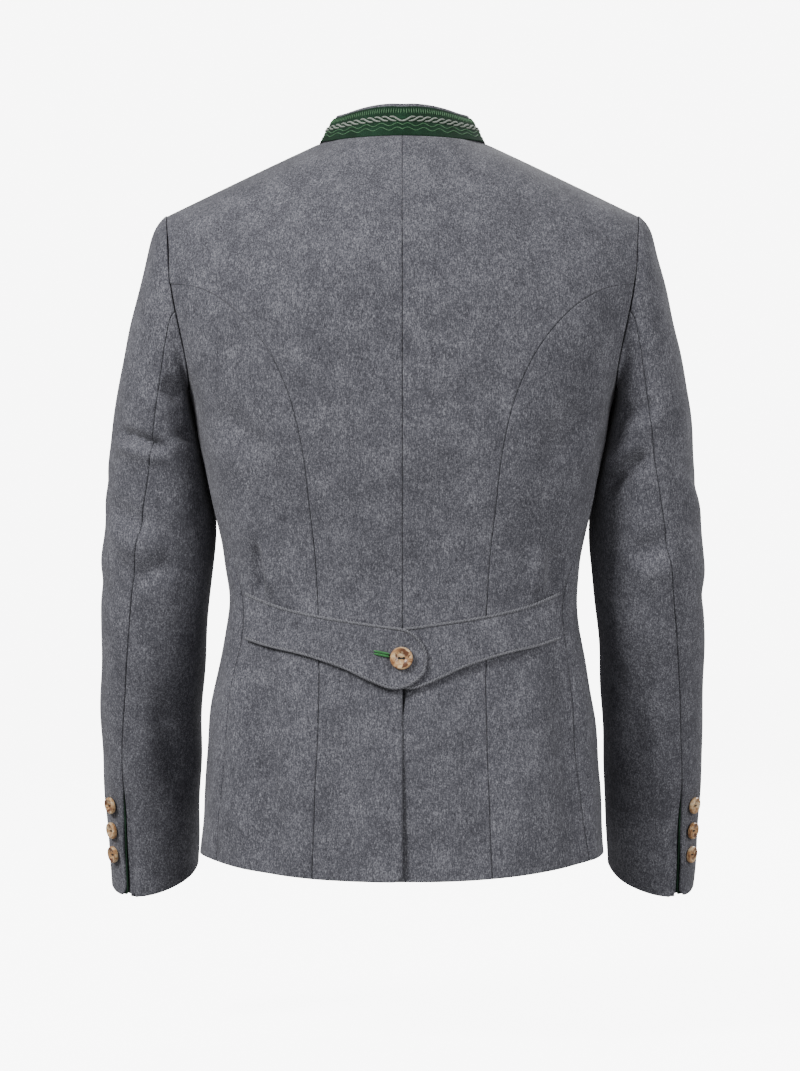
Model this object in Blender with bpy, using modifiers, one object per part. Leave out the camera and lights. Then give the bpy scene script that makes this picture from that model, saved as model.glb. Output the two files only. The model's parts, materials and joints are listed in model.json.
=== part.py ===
"""Tyrolean loden jacket with a half-belt and a green stand collar, filled out as it is worn.

Frame: +Z up, the front faces -Y and the wearer's left is +X. The origin lies at the middle of
the neck opening, at the height of the neck points where the shoulder seams meet the collar.
Every cloth piece is a wall of its own. The tables are in millimetres, everything built is in metres.
"""
import math
from collections import namedtuple

import bmesh
import bpy
import numpy as np
from mathutils import Vector

MM = 0.001

# Cloth and seams, in millimetres.
LODEN = 2.0                  # thickness of the loden wall
FELT = 1.5                   # thickness of the collar felt and the cuff facing
SEAM_GAP = 0.3               # space between two pieces at a seam
LAP_GAP = 0.5                # space between two pieces that lie on each other
COLLAR_GAP = 1.9             # space between the collar's foot and the neck edge
BELT_LIFT = 1.9              # space under the half-belt
CORD_RADIUS = 1.1            # the twisted cord along the belt edges

# Body: the girth at each level, worn and buttoned.
Level = namedtuple("Level", "height half_width back front middle")
BODY = (
    Level(45, 252, 112, 60, 8),
    Level(0, 252, 113, 72, 8),
    Level(-66, 250, 113, 92, 10),
    Level(-131, 241, 113, 122, 12),
    Level(-192, 221, 112, 145, 12),
    Level(-235, 206, 111, 150, 12),
    Level(-283, 196, 108, 150, 12),
    Level(-357, 180.5, 98, 146, 10),
    Level(-410, 170, 92, 142, 9),
    Level(-438, 167.2, 91, 140, 9),
    Level(-484, 175, 95, 140, 9),
    Level(-530, 184, 102, 141, 9),
    Level(-600, 189.5, 109, 143, 9),
    Level(-700, 195, 116, 144, 9),
)
ROUNDNESS = 2.4              # exponent of the girth curve, 2 is an ellipse
NECK_POINT = (80.4, 3.9)     # half width and height of the neck at the shoulder seam
SHOULDER_SLOPE = 0.488
NECK_SOFTNESS = 30.0         # rounds the shoulder lines into each other across the neck
SHOULDER_TIP = 228.0
BACK_ROUND = 180.0           # drop from the shoulder seam over which the back fills out
FRONT_ROUND = 160.0
BACK_NECK_HEIGHT = 6.2
FRONT_NECK_DROP = 64.0
HEM_BACK, HEM_SIDE, HEM_FRONT = -699.5, -681.0, -692.0
FRONT_OVERLAP = 18.0         # each front runs this far past the centre
FRONT_STRIP = 34.0           # the first column of a front ends this far from the centre
NECK_SINK = 1.8              # and this much further down near the neck, where it bends
FRONT_SINK = (166.0, 171.5)  # the right front sinks under the left one between these turns
VENT_TOP, VENT_FULL = -540.0, -580.0
UNDERLAP_TOP, UNDERLAP_FULL = -455.0, -490.0   # the underlap sinks here, behind the half-belt
VENT_UNDERLAP = 20.0

# Seams on the body. Turn is the angle round the girth from centre back to centre front.
SeamPoint = namedtuple("SeamPoint", "half_width height")
PRINCESS = (
    SeamPoint(221.3, -135), SeamPoint(190, -141.5), SeamPoint(162.5, -159),
    SeamPoint(138, -184.5), SeamPoint(118, -216), SeamPoint(105, -249),
    SeamPoint(95.4, -289), SeamPoint(86.5, -361), SeamPoint(82, -403),
    SeamPoint(79.5, -447), SeamPoint(79, -530), SeamPoint(82.3, -624), SeamPoint(85, -699),
)
TurnPoint = namedtuple("TurnPoint", "turn height")
ARMHOLE_BACK_UPPER = (TurnPoint(63.6, -100), TurnPoint(65.2, -135))
ARMHOLE_BACK_LOWER = (
    TurnPoint(67.3, -163), TurnPoint(71.0, -196), TurnPoint(78.0, -224), TurnPoint(90.0, -236),
)
ARMHOLE_FRONT = (
    TurnPoint(121.0, -100), TurnPoint(124.5, -135), TurnPoint(124.0, -168),
    TurnPoint(117.0, -202), TurnPoint(104.0, -226), TurnPoint(90.0, -236),
)
SIDE_SEAM = (
    TurnPoint(90, -236), TurnPoint(84, -320), TurnPoint(75, -380), TurnPoint(66, -425),
    TurnPoint(61, -465), TurnPoint(60, -520), TurnPoint(60, -580), TurnPoint(62, -640),
    TurnPoint(64, -690),
)

# Sleeve: a ring at each level below the armhole, for the left arm.
Ring = namedtuple("Ring", "height outer inner back front tilt hind_turn")
SLEEVE = (
    Ring(-250, 279.5, 190, 54, -94, 0, 90),
    Ring(-298, 285, 184, 48, -95, 0, 83),
    Ring(-345, 289, 182, 43, -95, 0, 76),
    Ring(-390, 292.5, 183.5, 37, -94, 0, 71),
    Ring(-435, 295, 188, 28, -95, 0, 68),
    Ring(-485, 296, 192.5, 12, -101, 2, 65),
    Ring(-540, 296.5, 196.5, -8, -114, 6, 61),
    Ring(-597, 296, 199.8, -28, -129, 11, 57),
    Ring(-655, 293.5, 202.5, -46, -144, 16, 54),
    Ring(-712, 290.5, 204, -60, -157, 20, 53),
)
TILT_TURN = 60.0             # the cuff hangs lowest on this side
FOREARM_TURN = 228.0
CAP_ROWS = 6
CAP_ROLL, CAP_EASE = 0.075, 0.42   # how far the cap stands out, and how late it turns down
BODY_CLEARANCE = 1.6         # the sleeve's inner side lies this far off the body
SLEEVE_SOFTNESS = 7.0        # how gradually the inner side flattens against the body
SLEEVE_DRAW = 0.25           # the sleeve's seam edges are drawn in by this much
CUFF_VENT_TOP = -628.0
CUFF_SLIT = 3.2              # width of the open cuff vent
FACING_SHARE = 0.32          # the cuff facing's reach, as a share of a sleeve column

# Rows and columns of the panels.
NECK_COLUMNS_BACK, NECK_COLUMNS_FRONT, SHOULDER_COLUMNS = 3, 5, 4
ARMHOLE_UPPER_ROWS, ARMHOLE_LOWER_COLUMNS, ARMHOLE_FRONT_ROWS = 3, 4, 6
LONG_ROWS = 16
YOKE_DROP_BACK, YOKE_DROP_FRONT = -62.0, -270.0   # centre heights level with each corner
UNDERARM_SAG = 70.0          # the front's rows dip towards the underarm corner

# Collar, half-belt and buttons.
COLLAR_HEIGHT = 34.0
COLLAR_EDGE = 4.4            # the loden edge that stands above the felt
COLLAR_CREST = 4.0           # the band is this much taller between the nape and the side
COLLAR_TILT = math.radians(24.6)
COLLAR_SIDE_LEAN, COLLAR_FRONT_LEAN = 0.45, 0.12
COLLAR_COLUMNS_BACK, COLLAR_COLUMNS_FRONT, COLLAR_ROWS = 8, 9, 3
COLLAR_END = 88.5            # the collar ends just short of centre front, in degrees
BeltStation = namedtuple("BeltStation", "top_x top_height bottom_x bottom_height")
BELT = (
    BeltStation(147, -431, 147, -471),
    BeltStation(125, -440.5, 125, -478),
    BeltStation(102, -447.5, 102, -483),
    BeltStation(79, -452.5, 77, -490),
    BeltStation(39, -459, 52, -499),
    BeltStation(12, -463, 26, -511),
    BeltStation(-4, -466, 9, -517),
    BeltStation(-15, -475, -8, -513),
    BeltStation(-20.5, -487, -19, -502),
)
BELT_COLUMNS, BELT_ROWS = 16, 3
BELT_RAISE = (62.0, 26.0)    # the upper belt end climbs onto the under end between these
BELT_BUTTON = (1.0, -490.5)  # across and height
BUTTONHOLE = (26.0, 11.5, -485.5, 1.6)   # outer end, inner end, height and half width
BELT_BUTTON_RADIUS, CUFF_BUTTON_RADIUS, FRONT_BUTTON_RADIUS = 10.8, 8.2, 10.2
BUTTON_THICKNESS = 4.2
CUFF_BUTTON_TURN = 36.0
CUFF_BUTTON_HEIGHTS = (-628.0, -651.5, -674.0)
FRONT_BUTTON_HEIGHTS = (-96.0, -200.0, -304.0, -408.0, -512.0)


# ------------------------------------------------------------------ curves and surfaces

def smooth_curve(positions, values, where):
    """A cubic curve through the values, rounded at each of its points."""
    positions = np.asarray(positions, float)
    values = np.asarray(values, float)
    slopes = np.gradient(values, positions)
    index = np.clip(np.searchsorted(positions, where) - 1, 0, len(positions) - 2)
    span = positions[index + 1] - positions[index]
    share = (where - positions[index]) / span
    rest = 1 - share
    return (values[index] * (1 + 2 * share) * rest ** 2
            + slopes[index] * span * share * rest ** 2
            + values[index + 1] * (3 - 2 * share) * share ** 2
            - slopes[index + 1] * span * rest * share ** 2)


def line_through(points, count):
    """Evenly spaced points along the smooth line through the given ones."""
    points = np.asarray(points, float)
    steps = np.r_[0, np.cumsum(np.linalg.norm(np.diff(points, axis=0), axis=1))]
    where = np.linspace(0, steps[-1], count + 1)
    return np.column_stack([smooth_curve(steps, column, where) for column in points.T])


def ramp(value, start, end):
    """Rises smoothly from 0 at start to 1 at end."""
    share = min(max((value - start) / (end - start), 0.0), 1.0)
    return share * share * (3 - 2 * share)


BODY_RISING = tuple(reversed(BODY))


def body_size(name, height):
    """One size of the body's girth at a height."""
    heights = [level.height for level in BODY_RISING]
    values = [getattr(level, name) for level in BODY_RISING]
    return float(smooth_curve(heights, values, np.clip(height, heights[0], heights[-1])))


def shoulder_height(half_width):
    """Height of the shoulder seam line, carried on inwards over the neck."""
    run = math.hypot(half_width, NECK_SOFTNESS) - math.hypot(NECK_POINT[0], NECK_SOFTNESS)
    return NECK_POINT[1] - SHOULDER_SLOPE * run


def turn_at(half_width, height):
    """The turn round the girth at which a point of this half width lies, on the back."""
    share = abs(half_width) / body_size("half_width", height)
    return math.copysign(math.degrees(math.asin(min(share, 1.0) ** (ROUNDNESS / 2))), half_width)


def body_point(turn, height, out=0.0):
    """A point on the body, moved out by some millimetres, or in where out is negative."""
    angle = math.radians(turn)
    across = math.copysign(abs(math.sin(angle)) ** (2 / ROUNDNESS), math.sin(angle))
    along = abs(math.cos(angle)) ** (2 / ROUNDNESS)
    half_width = body_size("half_width", height)
    at_back = math.cos(angle) > 0
    depth = body_size("back" if at_back else "front", height)
    drop = shoulder_height(half_width * across) - height
    reach = BACK_ROUND if at_back else FRONT_ROUND
    share = min(max(drop / reach, 0.0), 1.0)
    fullness = math.sqrt(1 - (1 - share) ** 2)
    y = (depth + out) * along * fullness
    middle = body_size("middle", height)
    return np.array(((half_width + out) * across,
                     middle + (y if at_back else -y),
                     height + out * 1.1 * (1 - fullness)))


def hem_height(turn):
    """The hem dips at the centre back and a little at the front."""
    dip = (HEM_BACK if math.cos(math.radians(turn)) > 0 else HEM_FRONT) - HEM_SIDE
    return HEM_SIDE + dip * math.cos(math.radians(turn)) ** 2


def coons_patch(top, bottom, inner, outer):
    """Turns and heights over a panel between its four edge lines."""
    rows, columns = len(inner), len(top)
    grid = np.zeros((rows, columns, 2))
    for row in range(rows):
        v = row / (rows - 1)
        for column in range(columns):
            u = column / (columns - 1)
            corners = ((1 - u) * (1 - v) * top[0] + u * (1 - v) * top[-1]
                       + (1 - u) * v * bottom[0] + u * v * bottom[-1])
            grid[row, column] = ((1 - v) * top[column] + v * bottom[column]
                                 + (1 - u) * inner[row] + u * outer[row] - corners)
    return grid


def body_grid(patch, out=0.0, lift=None):
    """The panel's points on the body. Lift adds a height off the body at each turn and height."""
    return np.array([[body_point(turn, height, out + (lift(turn, height) if lift else 0.0))
                      for turn, height in row] for row in patch])


def drawn_in(grid, guide, edges, amount=SEAM_GAP / 2):
    """Moves the edge rows or columns in, along the guide grid, to leave the seam's gap."""
    moved = grid.copy()
    picks = {"top": (np.s_[0], np.s_[1]), "bottom": (np.s_[-1], np.s_[-2]),
             "start": (np.s_[:, 0], np.s_[:, 1]), "end": (np.s_[:, -1], np.s_[:, -2])}
    for edge in edges:
        at, towards = picks[edge]
        step = guide[towards] - guide[at]
        length = np.maximum(np.linalg.norm(step, axis=-1, keepdims=True), 1e-6)
        moved[at] += step / length * np.reshape(amount, (-1, 1))
    return moved


# ------------------------------------------------------------------ objects

def material(name, colour, roughness):
    """A plain shader of one finish."""
    made = bpy.data.materials.new(name)
    made.use_nodes = True
    shader = made.node_tree.nodes["Principled BSDF"]
    shader.inputs["Base Color"].default_value = (*colour, 1.0)
    shader.inputs["Roughness"].default_value = roughness
    return made


def finish(obj, collection, parent, finish_material):
    """Files an object under the jacket with its material."""
    for owner in list(obj.users_collection):
        owner.objects.unlink(obj)
    collection.objects.link(obj)
    obj.parent = parent
    obj.data.materials.clear()
    obj.data.materials.append(finish_material)
    return obj


def cloth_wall(name, outer, inner, mirrored=False):
    """A closed wall between two grids of points: a grid, extruded, with each corner placed."""
    rows, columns = outer.shape[:2]
    mesh = bpy.data.meshes.new(name)
    sheet = bmesh.new()
    bmesh.ops.create_grid(sheet, x_segments=columns - 1, y_segments=rows - 1, size=1)
    raised = bmesh.ops.extrude_face_region(sheet, geom=sheet.faces[:])["geom"]
    inside = {item for item in raised if isinstance(item, bmesh.types.BMVert)}
    for vertex in sheet.verts:
        column = round((vertex.co.x + 1) / 2 * (columns - 1))
        row = round((vertex.co.y + 1) / 2 * (rows - 1))
        point = (inner if vertex in inside else outer)[row, column] * MM
        vertex.co = Vector((-point[0] if mirrored else point[0], point[1], point[2]))
    bmesh.ops.recalc_face_normals(sheet, faces=sheet.faces[:])
    sheet.to_mesh(mesh)
    sheet.free()
    return bpy.data.objects.new(name, mesh)


def edge_cord(name, points, mirrored=False):
    """A round cord along a line of points."""
    curve = bpy.data.curves.new(name, "CURVE")
    curve.dimensions = "3D"
    curve.bevel_depth = CORD_RADIUS * MM
    curve.bevel_resolution = 2
    curve.use_fill_caps = True
    spline = curve.splines.new("POLY")
    spline.points.add(len(points) - 1)
    for spot, point in zip(spline.points, points * MM):
        spot.co = (-point[0] if mirrored else point[0], point[1], point[2], 1.0)
    return bpy.data.objects.new(name, curve)


def horn_button(name, radius, centre, facing, mirrored=False):
    """A turned button with a raised rim, lying flat on the cloth."""
    radius = radius * MM
    half = BUTTON_THICKNESS * MM / 2
    outline = ((0, 0.35 * half), (0.6 * radius, 0.35 * half), (0.75 * radius, half),
               (0.95 * radius, 0.8 * half), (radius, 0), (0.85 * radius, -half), (0, -half))
    mesh = bpy.data.meshes.new(name)
    mesh.from_pydata([(x, 0, z) for x, z in outline],
                     [(i, i + 1) for i in range(len(outline) - 1)], [])
    button = bpy.data.objects.new(name, mesh)
    turning = button.modifiers.new("Turning", "SCREW")
    turning.axis = "Z"
    turning.steps = turning.render_steps = 16
    turning.use_merge_vertices = True
    turning.merge_threshold = 0.00001
    centre, facing = np.array(centre), np.array(facing)
    if mirrored:
        centre, facing = centre * (-1, 1, 1), facing * (-1, 1, 1)
    button.location = centre * MM
    button.rotation_euler = Vector(facing).to_track_quat("Z", "Y").to_euler()
    return button


# ------------------------------------------------------------------ the body's panels

def seam_turns(points):
    """Seam points given by half width, as turns and heights."""
    return np.array([(turn_at(point.half_width, point.height), point.height)
                     for point in points])


def shoulder_seam():
    """From the neck point to the shoulder tip, as turns and heights on the back."""
    widths = np.linspace(NECK_POINT[0], SHOULDER_TIP, SHOULDER_COLUMNS + 1)
    return np.array([(turn_at(width, shoulder_height(width)), shoulder_height(width))
                     for width in widths])


def back_neckline():
    """From centre back to the neck point."""
    widths = np.linspace(0, NECK_POINT[0], NECK_COLUMNS_BACK + 1)
    fall = BACK_NECK_HEIGHT - NECK_POINT[1]
    heights = [BACK_NECK_HEIGHT - fall * (width / NECK_POINT[0]) ** 2 for width in widths]
    return np.array([(turn_at(width, height), height) for width, height in zip(widths, heights)])


def front_neck_point(angle):
    """A point of the front neckline, from the neck point at 0 to centre front at 90 degrees."""
    width = NECK_POINT[0] * math.cos(math.radians(angle))
    height = NECK_POINT[1] - FRONT_NECK_DROP * math.sin(math.radians(angle)) ** 1.35
    return 180 - turn_at(width, height), height


FRONT_EDGE_ANGLE = math.degrees(math.acos(-FRONT_OVERLAP / NECK_POINT[0]))
TIP = shoulder_seam()[-1]
ARMHOLE_UPPER = line_through(np.vstack([[TIP], ARMHOLE_BACK_UPPER]), ARMHOLE_UPPER_ROWS)
ARMHOLE_LOWER = line_through(np.vstack([ARMHOLE_BACK_UPPER[-1:], ARMHOLE_BACK_LOWER]),
                             ARMHOLE_LOWER_COLUMNS)
FRONT_TIP = (180 - TIP[0], TIP[1])
ARMHOLE_FORE = line_through(np.vstack([[FRONT_TIP], ARMHOLE_FRONT]), ARMHOLE_FRONT_ROWS)


def princess_seam():
    """From the armhole to the hem, evenly spaced, as turns and heights."""
    spots = line_through(np.array(PRINCESS), LONG_ROWS)
    turns = seam_turns([SeamPoint(*spot) for spot in spots])
    turns[0] = ARMHOLE_UPPER[-1]
    turns[-1, 1] = hem_height(turns[-1, 0])
    return turns


def side_seam():
    """From the underarm to the hem."""
    seam = line_through(np.array(SIDE_SEAM), LONG_ROWS)
    seam[-1, 1] = hem_height(seam[-1, 0])
    return seam


def centre_line(turn, top, corner, bottom, upper_rows):
    """Heights down a centre edge, with one row level with the panel's outer corner."""
    heights = np.r_[np.linspace(top, corner, upper_rows + 1),
                    np.linspace(corner, bottom, LONG_ROWS + 1)[1:]]
    return np.column_stack([np.full(len(heights), turn), heights])


def hem_line(start_turn, end_turn, columns):
    """The hem between two turns."""
    return np.array([(turn, hem_height(turn))
                     for turn in np.linspace(start_turn, end_turn, columns + 1)])


def centre_back_patch():
    """Turns and heights over a centre back panel."""
    top = np.vstack([back_neckline(), shoulder_seam()[1:]])
    princess = princess_seam()
    outer = np.vstack([ARMHOLE_UPPER, princess[1:]])
    inner = centre_line(0, BACK_NECK_HEIGHT, YOKE_DROP_BACK, HEM_BACK, ARMHOLE_UPPER_ROWS)
    bottom = hem_line(0, princess[-1, 0], len(top) - 1)
    return coons_patch(top, bottom, inner, outer)


def side_back_patch():
    """Turns and heights over a side back panel, from the princess seam to the side seam."""
    princess, side = princess_seam(), side_seam()
    bottom = hem_line(princess[-1, 0], side[-1, 0], ARMHOLE_LOWER_COLUMNS)
    return coons_patch(ARMHOLE_LOWER, bottom, princess, side)


def front_patch():
    """Turns and heights over a front, from the side seam to its own front edge."""
    strip_angle = math.degrees(math.acos(FRONT_STRIP / NECK_POINT[0]))
    angles = np.r_[FRONT_EDGE_ANGLE, np.linspace(strip_angle, 0, NECK_COLUMNS_FRONT)]
    neck = np.array([front_neck_point(angle) for angle in angles])
    shoulder = shoulder_seam()[1:] * (-1, 1) + (180, 0)
    top = np.vstack([neck, shoulder])
    side = side_seam()
    outer = np.vstack([ARMHOLE_FORE, side[1:]])
    edge_heights = centre_line(0, top[0, 1], YOKE_DROP_FRONT, HEM_FRONT, ARMHOLE_FRONT_ROWS)[:, 1]
    inner = np.array([(180 + turn_at(FRONT_OVERLAP, height), height) for height in edge_heights])
    inner[0], inner[-1, 1] = top[0], hem_height(inner[-1, 0])
    strip_turn = 180 - turn_at(FRONT_STRIP, HEM_FRONT)
    bottom = np.vstack([inner[-1:], hem_line(strip_turn, side[-1, 0], len(top) - 2)])
    patch = coons_patch(top, bottom, inner, outer)
    across = np.linspace(0, 1, len(top))
    down = np.interp(range(len(patch)), (0, ARMHOLE_FRONT_ROWS, len(patch) - 1), (0, 1, 0))
    patch[:, :, 1] -= UNDERARM_SAG * 4 * np.outer(down ** 1.5, across ** 3 * (1 - across))
    return patch


def body_panel(name, patch, edges, mirrored=False, lift=None):
    """A loden panel with its seam edges drawn in."""
    skin = body_grid(patch, 0.0, lift)
    lining_side = body_grid(patch, -LODEN, lift)
    return cloth_wall(name, drawn_in(skin, skin, edges), drawn_in(lining_side, skin, edges), mirrored)


def vent_patch(patch):
    """The right back panel runs on under the left one below the top of the vent."""
    widened = patch.copy()
    for row in widened:
        reach = VENT_UNDERLAP * ramp(row[0, 1], VENT_TOP, VENT_FULL)
        shift = -turn_at(reach, row[0, 1])
        share = np.linspace(1, 0, len(row)) ** 2
        row[:, 0] += shift * share
    return widened


def underlap_lift(turn, height):
    """Sinks the vent's underlap below the panel that covers it."""
    beside = ramp(body_point(turn, height)[0], 16, 0)
    return -(LODEN + 2 * LAP_GAP) * beside * ramp(height, UNDERLAP_TOP, UNDERLAP_FULL)


def front_underlap_lift(turn, height):
    """Sinks the right front's edge below the left front."""
    deeper = NECK_SINK * ramp(height, -150, -95)
    return -(LODEN + 2 * LAP_GAP + deeper) * ramp(turn, *FRONT_SINK)


# ------------------------------------------------------------------ sleeves

def armhole_loop():
    """The armhole from the shoulder tip down the back, under the arm and up the front."""
    spots = np.vstack([ARMHOLE_UPPER, ARMHOLE_LOWER[1:], ARMHOLE_FORE[-2:0:-1]])
    return np.array([body_point(turn, height, LAP_GAP) for turn, height in spots])


HIND_COLUMN = ARMHOLE_UPPER_ROWS + 1
UNDERARM_COLUMN = ARMHOLE_UPPER_ROWS + ARMHOLE_LOWER_COLUMNS
FOREARM_COLUMN = UNDERARM_COLUMN + 2
SLEEVE_COLUMNS = UNDERARM_COLUMN + ARMHOLE_FRONT_ROWS


def ring_turns(hind_turn):
    """The turn of each column round the sleeve, 0 outside, 90 at the back."""
    stops = (0, HIND_COLUMN, FOREARM_COLUMN, SLEEVE_COLUMNS)
    return np.interp(range(SLEEVE_COLUMNS), stops, (0, hind_turn, FOREARM_TURN, 360))


def beside_body(point):
    """Keeps a sleeve point off the body: the inner side flattens against it."""
    height = point[2]
    depth = body_size("front" if point[1] < body_size("middle", height) else "back", height)
    share = min(abs(point[1] - body_size("middle", height)) / depth, 1.0)
    wall = body_size("half_width", height) * (1 - share ** ROUNDNESS) ** (1 / ROUNDNESS)
    limit = wall + BODY_CLEARANCE
    spare = point[0] - limit
    kept = limit + (spare + math.hypot(spare, SLEEVE_SOFTNESS * (1 - share))) / 2
    return np.array((kept, point[1], height))


def ring_point(ring, turn):
    """A point on a sleeve ring."""
    angle = math.radians(turn)
    middle_x = (ring.outer + ring.inner) / 2
    middle_y = (ring.back + ring.front) / 2
    drop = ring.tilt * math.cos(math.radians(turn - TILT_TURN))
    point = np.array((middle_x + (ring.outer - ring.inner) / 2 * math.cos(angle),
                      middle_y + (ring.back - ring.front) / 2 * math.sin(angle),
                      ring.height - drop))
    return beside_body(point) if ring.height > -460 else point


def sleeve_grid():
    """All the sleeve's points: the cap's rows from the armhole, then the rings."""
    armhole = armhole_loop()
    rings = np.array([[ring_point(ring, turn) for turn in ring_turns(ring.hind_turn)]
                      for ring in SLEEVE])
    below = rings[1] - rings[0]
    cap = []
    for row in range(CAP_ROWS):
        share = row / CAP_ROWS
        line = []
        for start, end, onward in zip(armhole, rings[0], below):
            reach = np.linalg.norm(end - start)
            leave = start + np.array((CAP_ROLL * reach, 0, 0))
            onto = 0.6 * onward / np.linalg.norm(onward) + 0.4 * (end - start) / reach
            arrive = end - onto * CAP_EASE * reach
            rest = 1 - share
            line.append(rest ** 3 * start + 3 * rest ** 2 * share * leave
                        + 3 * rest * share ** 2 * arrive + share ** 3 * end)
        cap.append(line)
    return np.vstack([np.array(cap), rings])


def outward(grid):
    """Unit normals of a grid that closes on itself across its columns."""
    across = np.roll(grid, -1, axis=1) - np.roll(grid, 1, axis=1)
    down = np.gradient(grid, axis=0)
    normals = np.cross(down, across)
    return normals / np.linalg.norm(normals, axis=2, keepdims=True)


def sleeve_columns(start, end):
    """Column numbers from start to end, past the last one round to the first."""
    return [column % SLEEVE_COLUMNS for column in range(start, end + 1)]


def sleeve_panel(name, skin, normals, columns, slit_edge=None, mirrored=False):
    """A sleeve panel over some columns, with the cuff vent left open along one edge."""
    outer = skin[:, columns]
    inner = (skin - LODEN * normals)[:, columns]
    guide = outer.copy()
    outer = drawn_in(outer, guide, ("top", "start", "end"), SLEEVE_DRAW)
    inner = drawn_in(inner, guide, ("top", "start", "end"), SLEEVE_DRAW)
    if slit_edge:
        heights = guide[:, 0 if slit_edge == "start" else -1, 2]
        slit = [CUFF_SLIT * ramp(height, CUFF_VENT_TOP, CUFF_VENT_TOP - 30) for height in heights]
        outer = drawn_in(outer, guide, (slit_edge,), np.array(slit))
        inner = drawn_in(inner, guide, (slit_edge,), np.array(slit))
    return cloth_wall(name, outer, inner, mirrored)


def ring_at(height):
    """A sleeve ring between the table's rows."""
    rising = tuple(reversed(SLEEVE))
    heights = [ring.height for ring in rising]
    sizes = [float(smooth_curve(heights, [getattr(ring, name) for ring in rising], height))
             for name in Ring._fields[1:]]
    return Ring(height, *sizes)


def between(first, second, share):
    """A share of the way from one set of points to another."""
    return (1 - share) * first + share * second


def cuff_facing(name, skin, normals, mirrored=False):
    """The felt strip under the cuff vent's edges, from the sleeve's own points moved in."""
    layers = []
    for depth in (LODEN + LAP_GAP, LODEN + LAP_GAP + FELT):
        sunk = skin - depth * normals
        rows = [between(sunk[-3], sunk[-2], 0.78), sunk[-2], between(sunk[-2], sunk[-1], 0.95)]
        layers.append(np.array([[between(row[HIND_COLUMN], row[HIND_COLUMN - 1], FACING_SHARE),
                                 row[HIND_COLUMN],
                                 between(row[HIND_COLUMN], row[HIND_COLUMN + 1], FACING_SHARE)]
                                for row in rows]))
    return cloth_wall(name, layers[0], layers[1], mirrored)


def cuff_button_seat(height):
    """Where a cuff button lies and the way it faces."""
    ring = ring_at(height)
    spot = ring_point(ring, CUFF_BUTTON_TURN)
    beside = ring_point(ring, CUFF_BUTTON_TURN + 2) - ring_point(ring, CUFF_BUTTON_TURN - 2)
    under = ring_at(height - 5)
    above = ring_at(height + 5)
    down = ring_point(under, CUFF_BUTTON_TURN) - ring_point(above, CUFF_BUTTON_TURN)
    facing = np.cross(down, beside)
    facing /= np.linalg.norm(facing)
    return spot, facing


# ------------------------------------------------------------------ collar and half-belt

def collar_foot():
    """The neckline from centre back to centre front, as turns and heights."""
    widths = np.linspace(0, NECK_POINT[0], COLLAR_COLUMNS_BACK + 1)
    fall = BACK_NECK_HEIGHT - NECK_POINT[1]
    back = [(turn_at(width, BACK_NECK_HEIGHT - fall * (width / NECK_POINT[0]) ** 2),
             BACK_NECK_HEIGHT - fall * (width / NECK_POINT[0]) ** 2) for width in widths]
    front = [front_neck_point(angle)
             for angle in np.linspace(0, COLLAR_END, COLLAR_COLUMNS_FRONT + 1)[1:]]
    return np.array([body_point(*spot) for spot in back + front])


def collar_grid(depth, rise):
    """The collar band at a depth inside its outer face, from its foot to its top."""
    foot = collar_foot()
    foot = np.vstack([foot[:0:-1] * (-1, 1, 1), foot])
    centre = np.array((0.0, foot[:, 1].mean(), 0.0))
    along = np.gradient(foot, axis=0)
    up = np.array((0, -math.sin(COLLAR_TILT), math.cos(COLLAR_TILT)))
    away = np.cross(along, up)
    away *= np.sign(np.sum(away * (foot - centre), axis=1, keepdims=True))
    away /= np.linalg.norm(away, axis=1, keepdims=True)
    side = np.abs(foot[:, :1]) / NECK_POINT[0]
    front = np.clip(-foot[:, 1:2] / 75, 0, 1)
    lean = COLLAR_SIDE_LEAN * side + COLLAR_FRONT_LEAN * front
    climb = up - lean * away
    climb /= np.linalg.norm(climb, axis=1, keepdims=True)
    rise = rise + COLLAR_CREST * 4 * side * (1 - side)
    rows = [foot + climb * (COLLAR_GAP + rise * row / COLLAR_ROWS) - away * depth
            for row in range(COLLAR_ROWS + 1)]
    return np.array(rows)


def belt_outline():
    """Top and bottom edges of a half-belt, from its side seam to its tip."""
    stations = np.array(BELT, float)
    top = line_through(stations[:, :2], BELT_COLUMNS)
    bottom = line_through(stations[:, 2:], BELT_COLUMNS)
    return top, bottom


def belt_lift(across, upper):
    """How far the belt's inner face lies off the body."""
    if not upper:
        return BELT_LIFT
    climbing = (LODEN + 2 * LAP_GAP) * ramp(across, *BELT_RAISE)
    return BELT_LIFT + climbing


def on_body(across, height, out):
    """A point over the back, given by its place across."""
    return body_point(turn_at(across, height), height, out)


def belt_grid(upper, thickness):
    """The belt's points at a thickness above its inner face."""
    top, bottom = belt_outline()
    shares = np.linspace(0, 1, BELT_ROWS + 1)
    rows = []
    for share in shares:
        line = (1 - share) * top + share * bottom
        rows.append([on_body(x, z, belt_lift(x, upper) + thickness) for x, z in line])
    return np.array(rows)


def belt_cord_line(upper):
    """The cord's path: along the top edge, round the tip and back along the bottom."""
    top, bottom = belt_outline()
    outline = np.vstack([top, bottom[::-1]])
    outline = line_through(outline, 2 * BELT_COLUMNS + 6)
    along = np.gradient(outline, axis=0)
    beyond = np.column_stack([-along[:, 1], along[:, 0]])
    beyond /= np.linalg.norm(beyond, axis=1, keepdims=True)
    if np.dot(beyond[0], (0, 1)) < 0:
        beyond = -beyond
    path = outline + beyond * (CORD_RADIUS + LAP_GAP)
    return np.array([on_body(x, z, belt_lift(x, upper) + CORD_RADIUS) for x, z in path])


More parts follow.
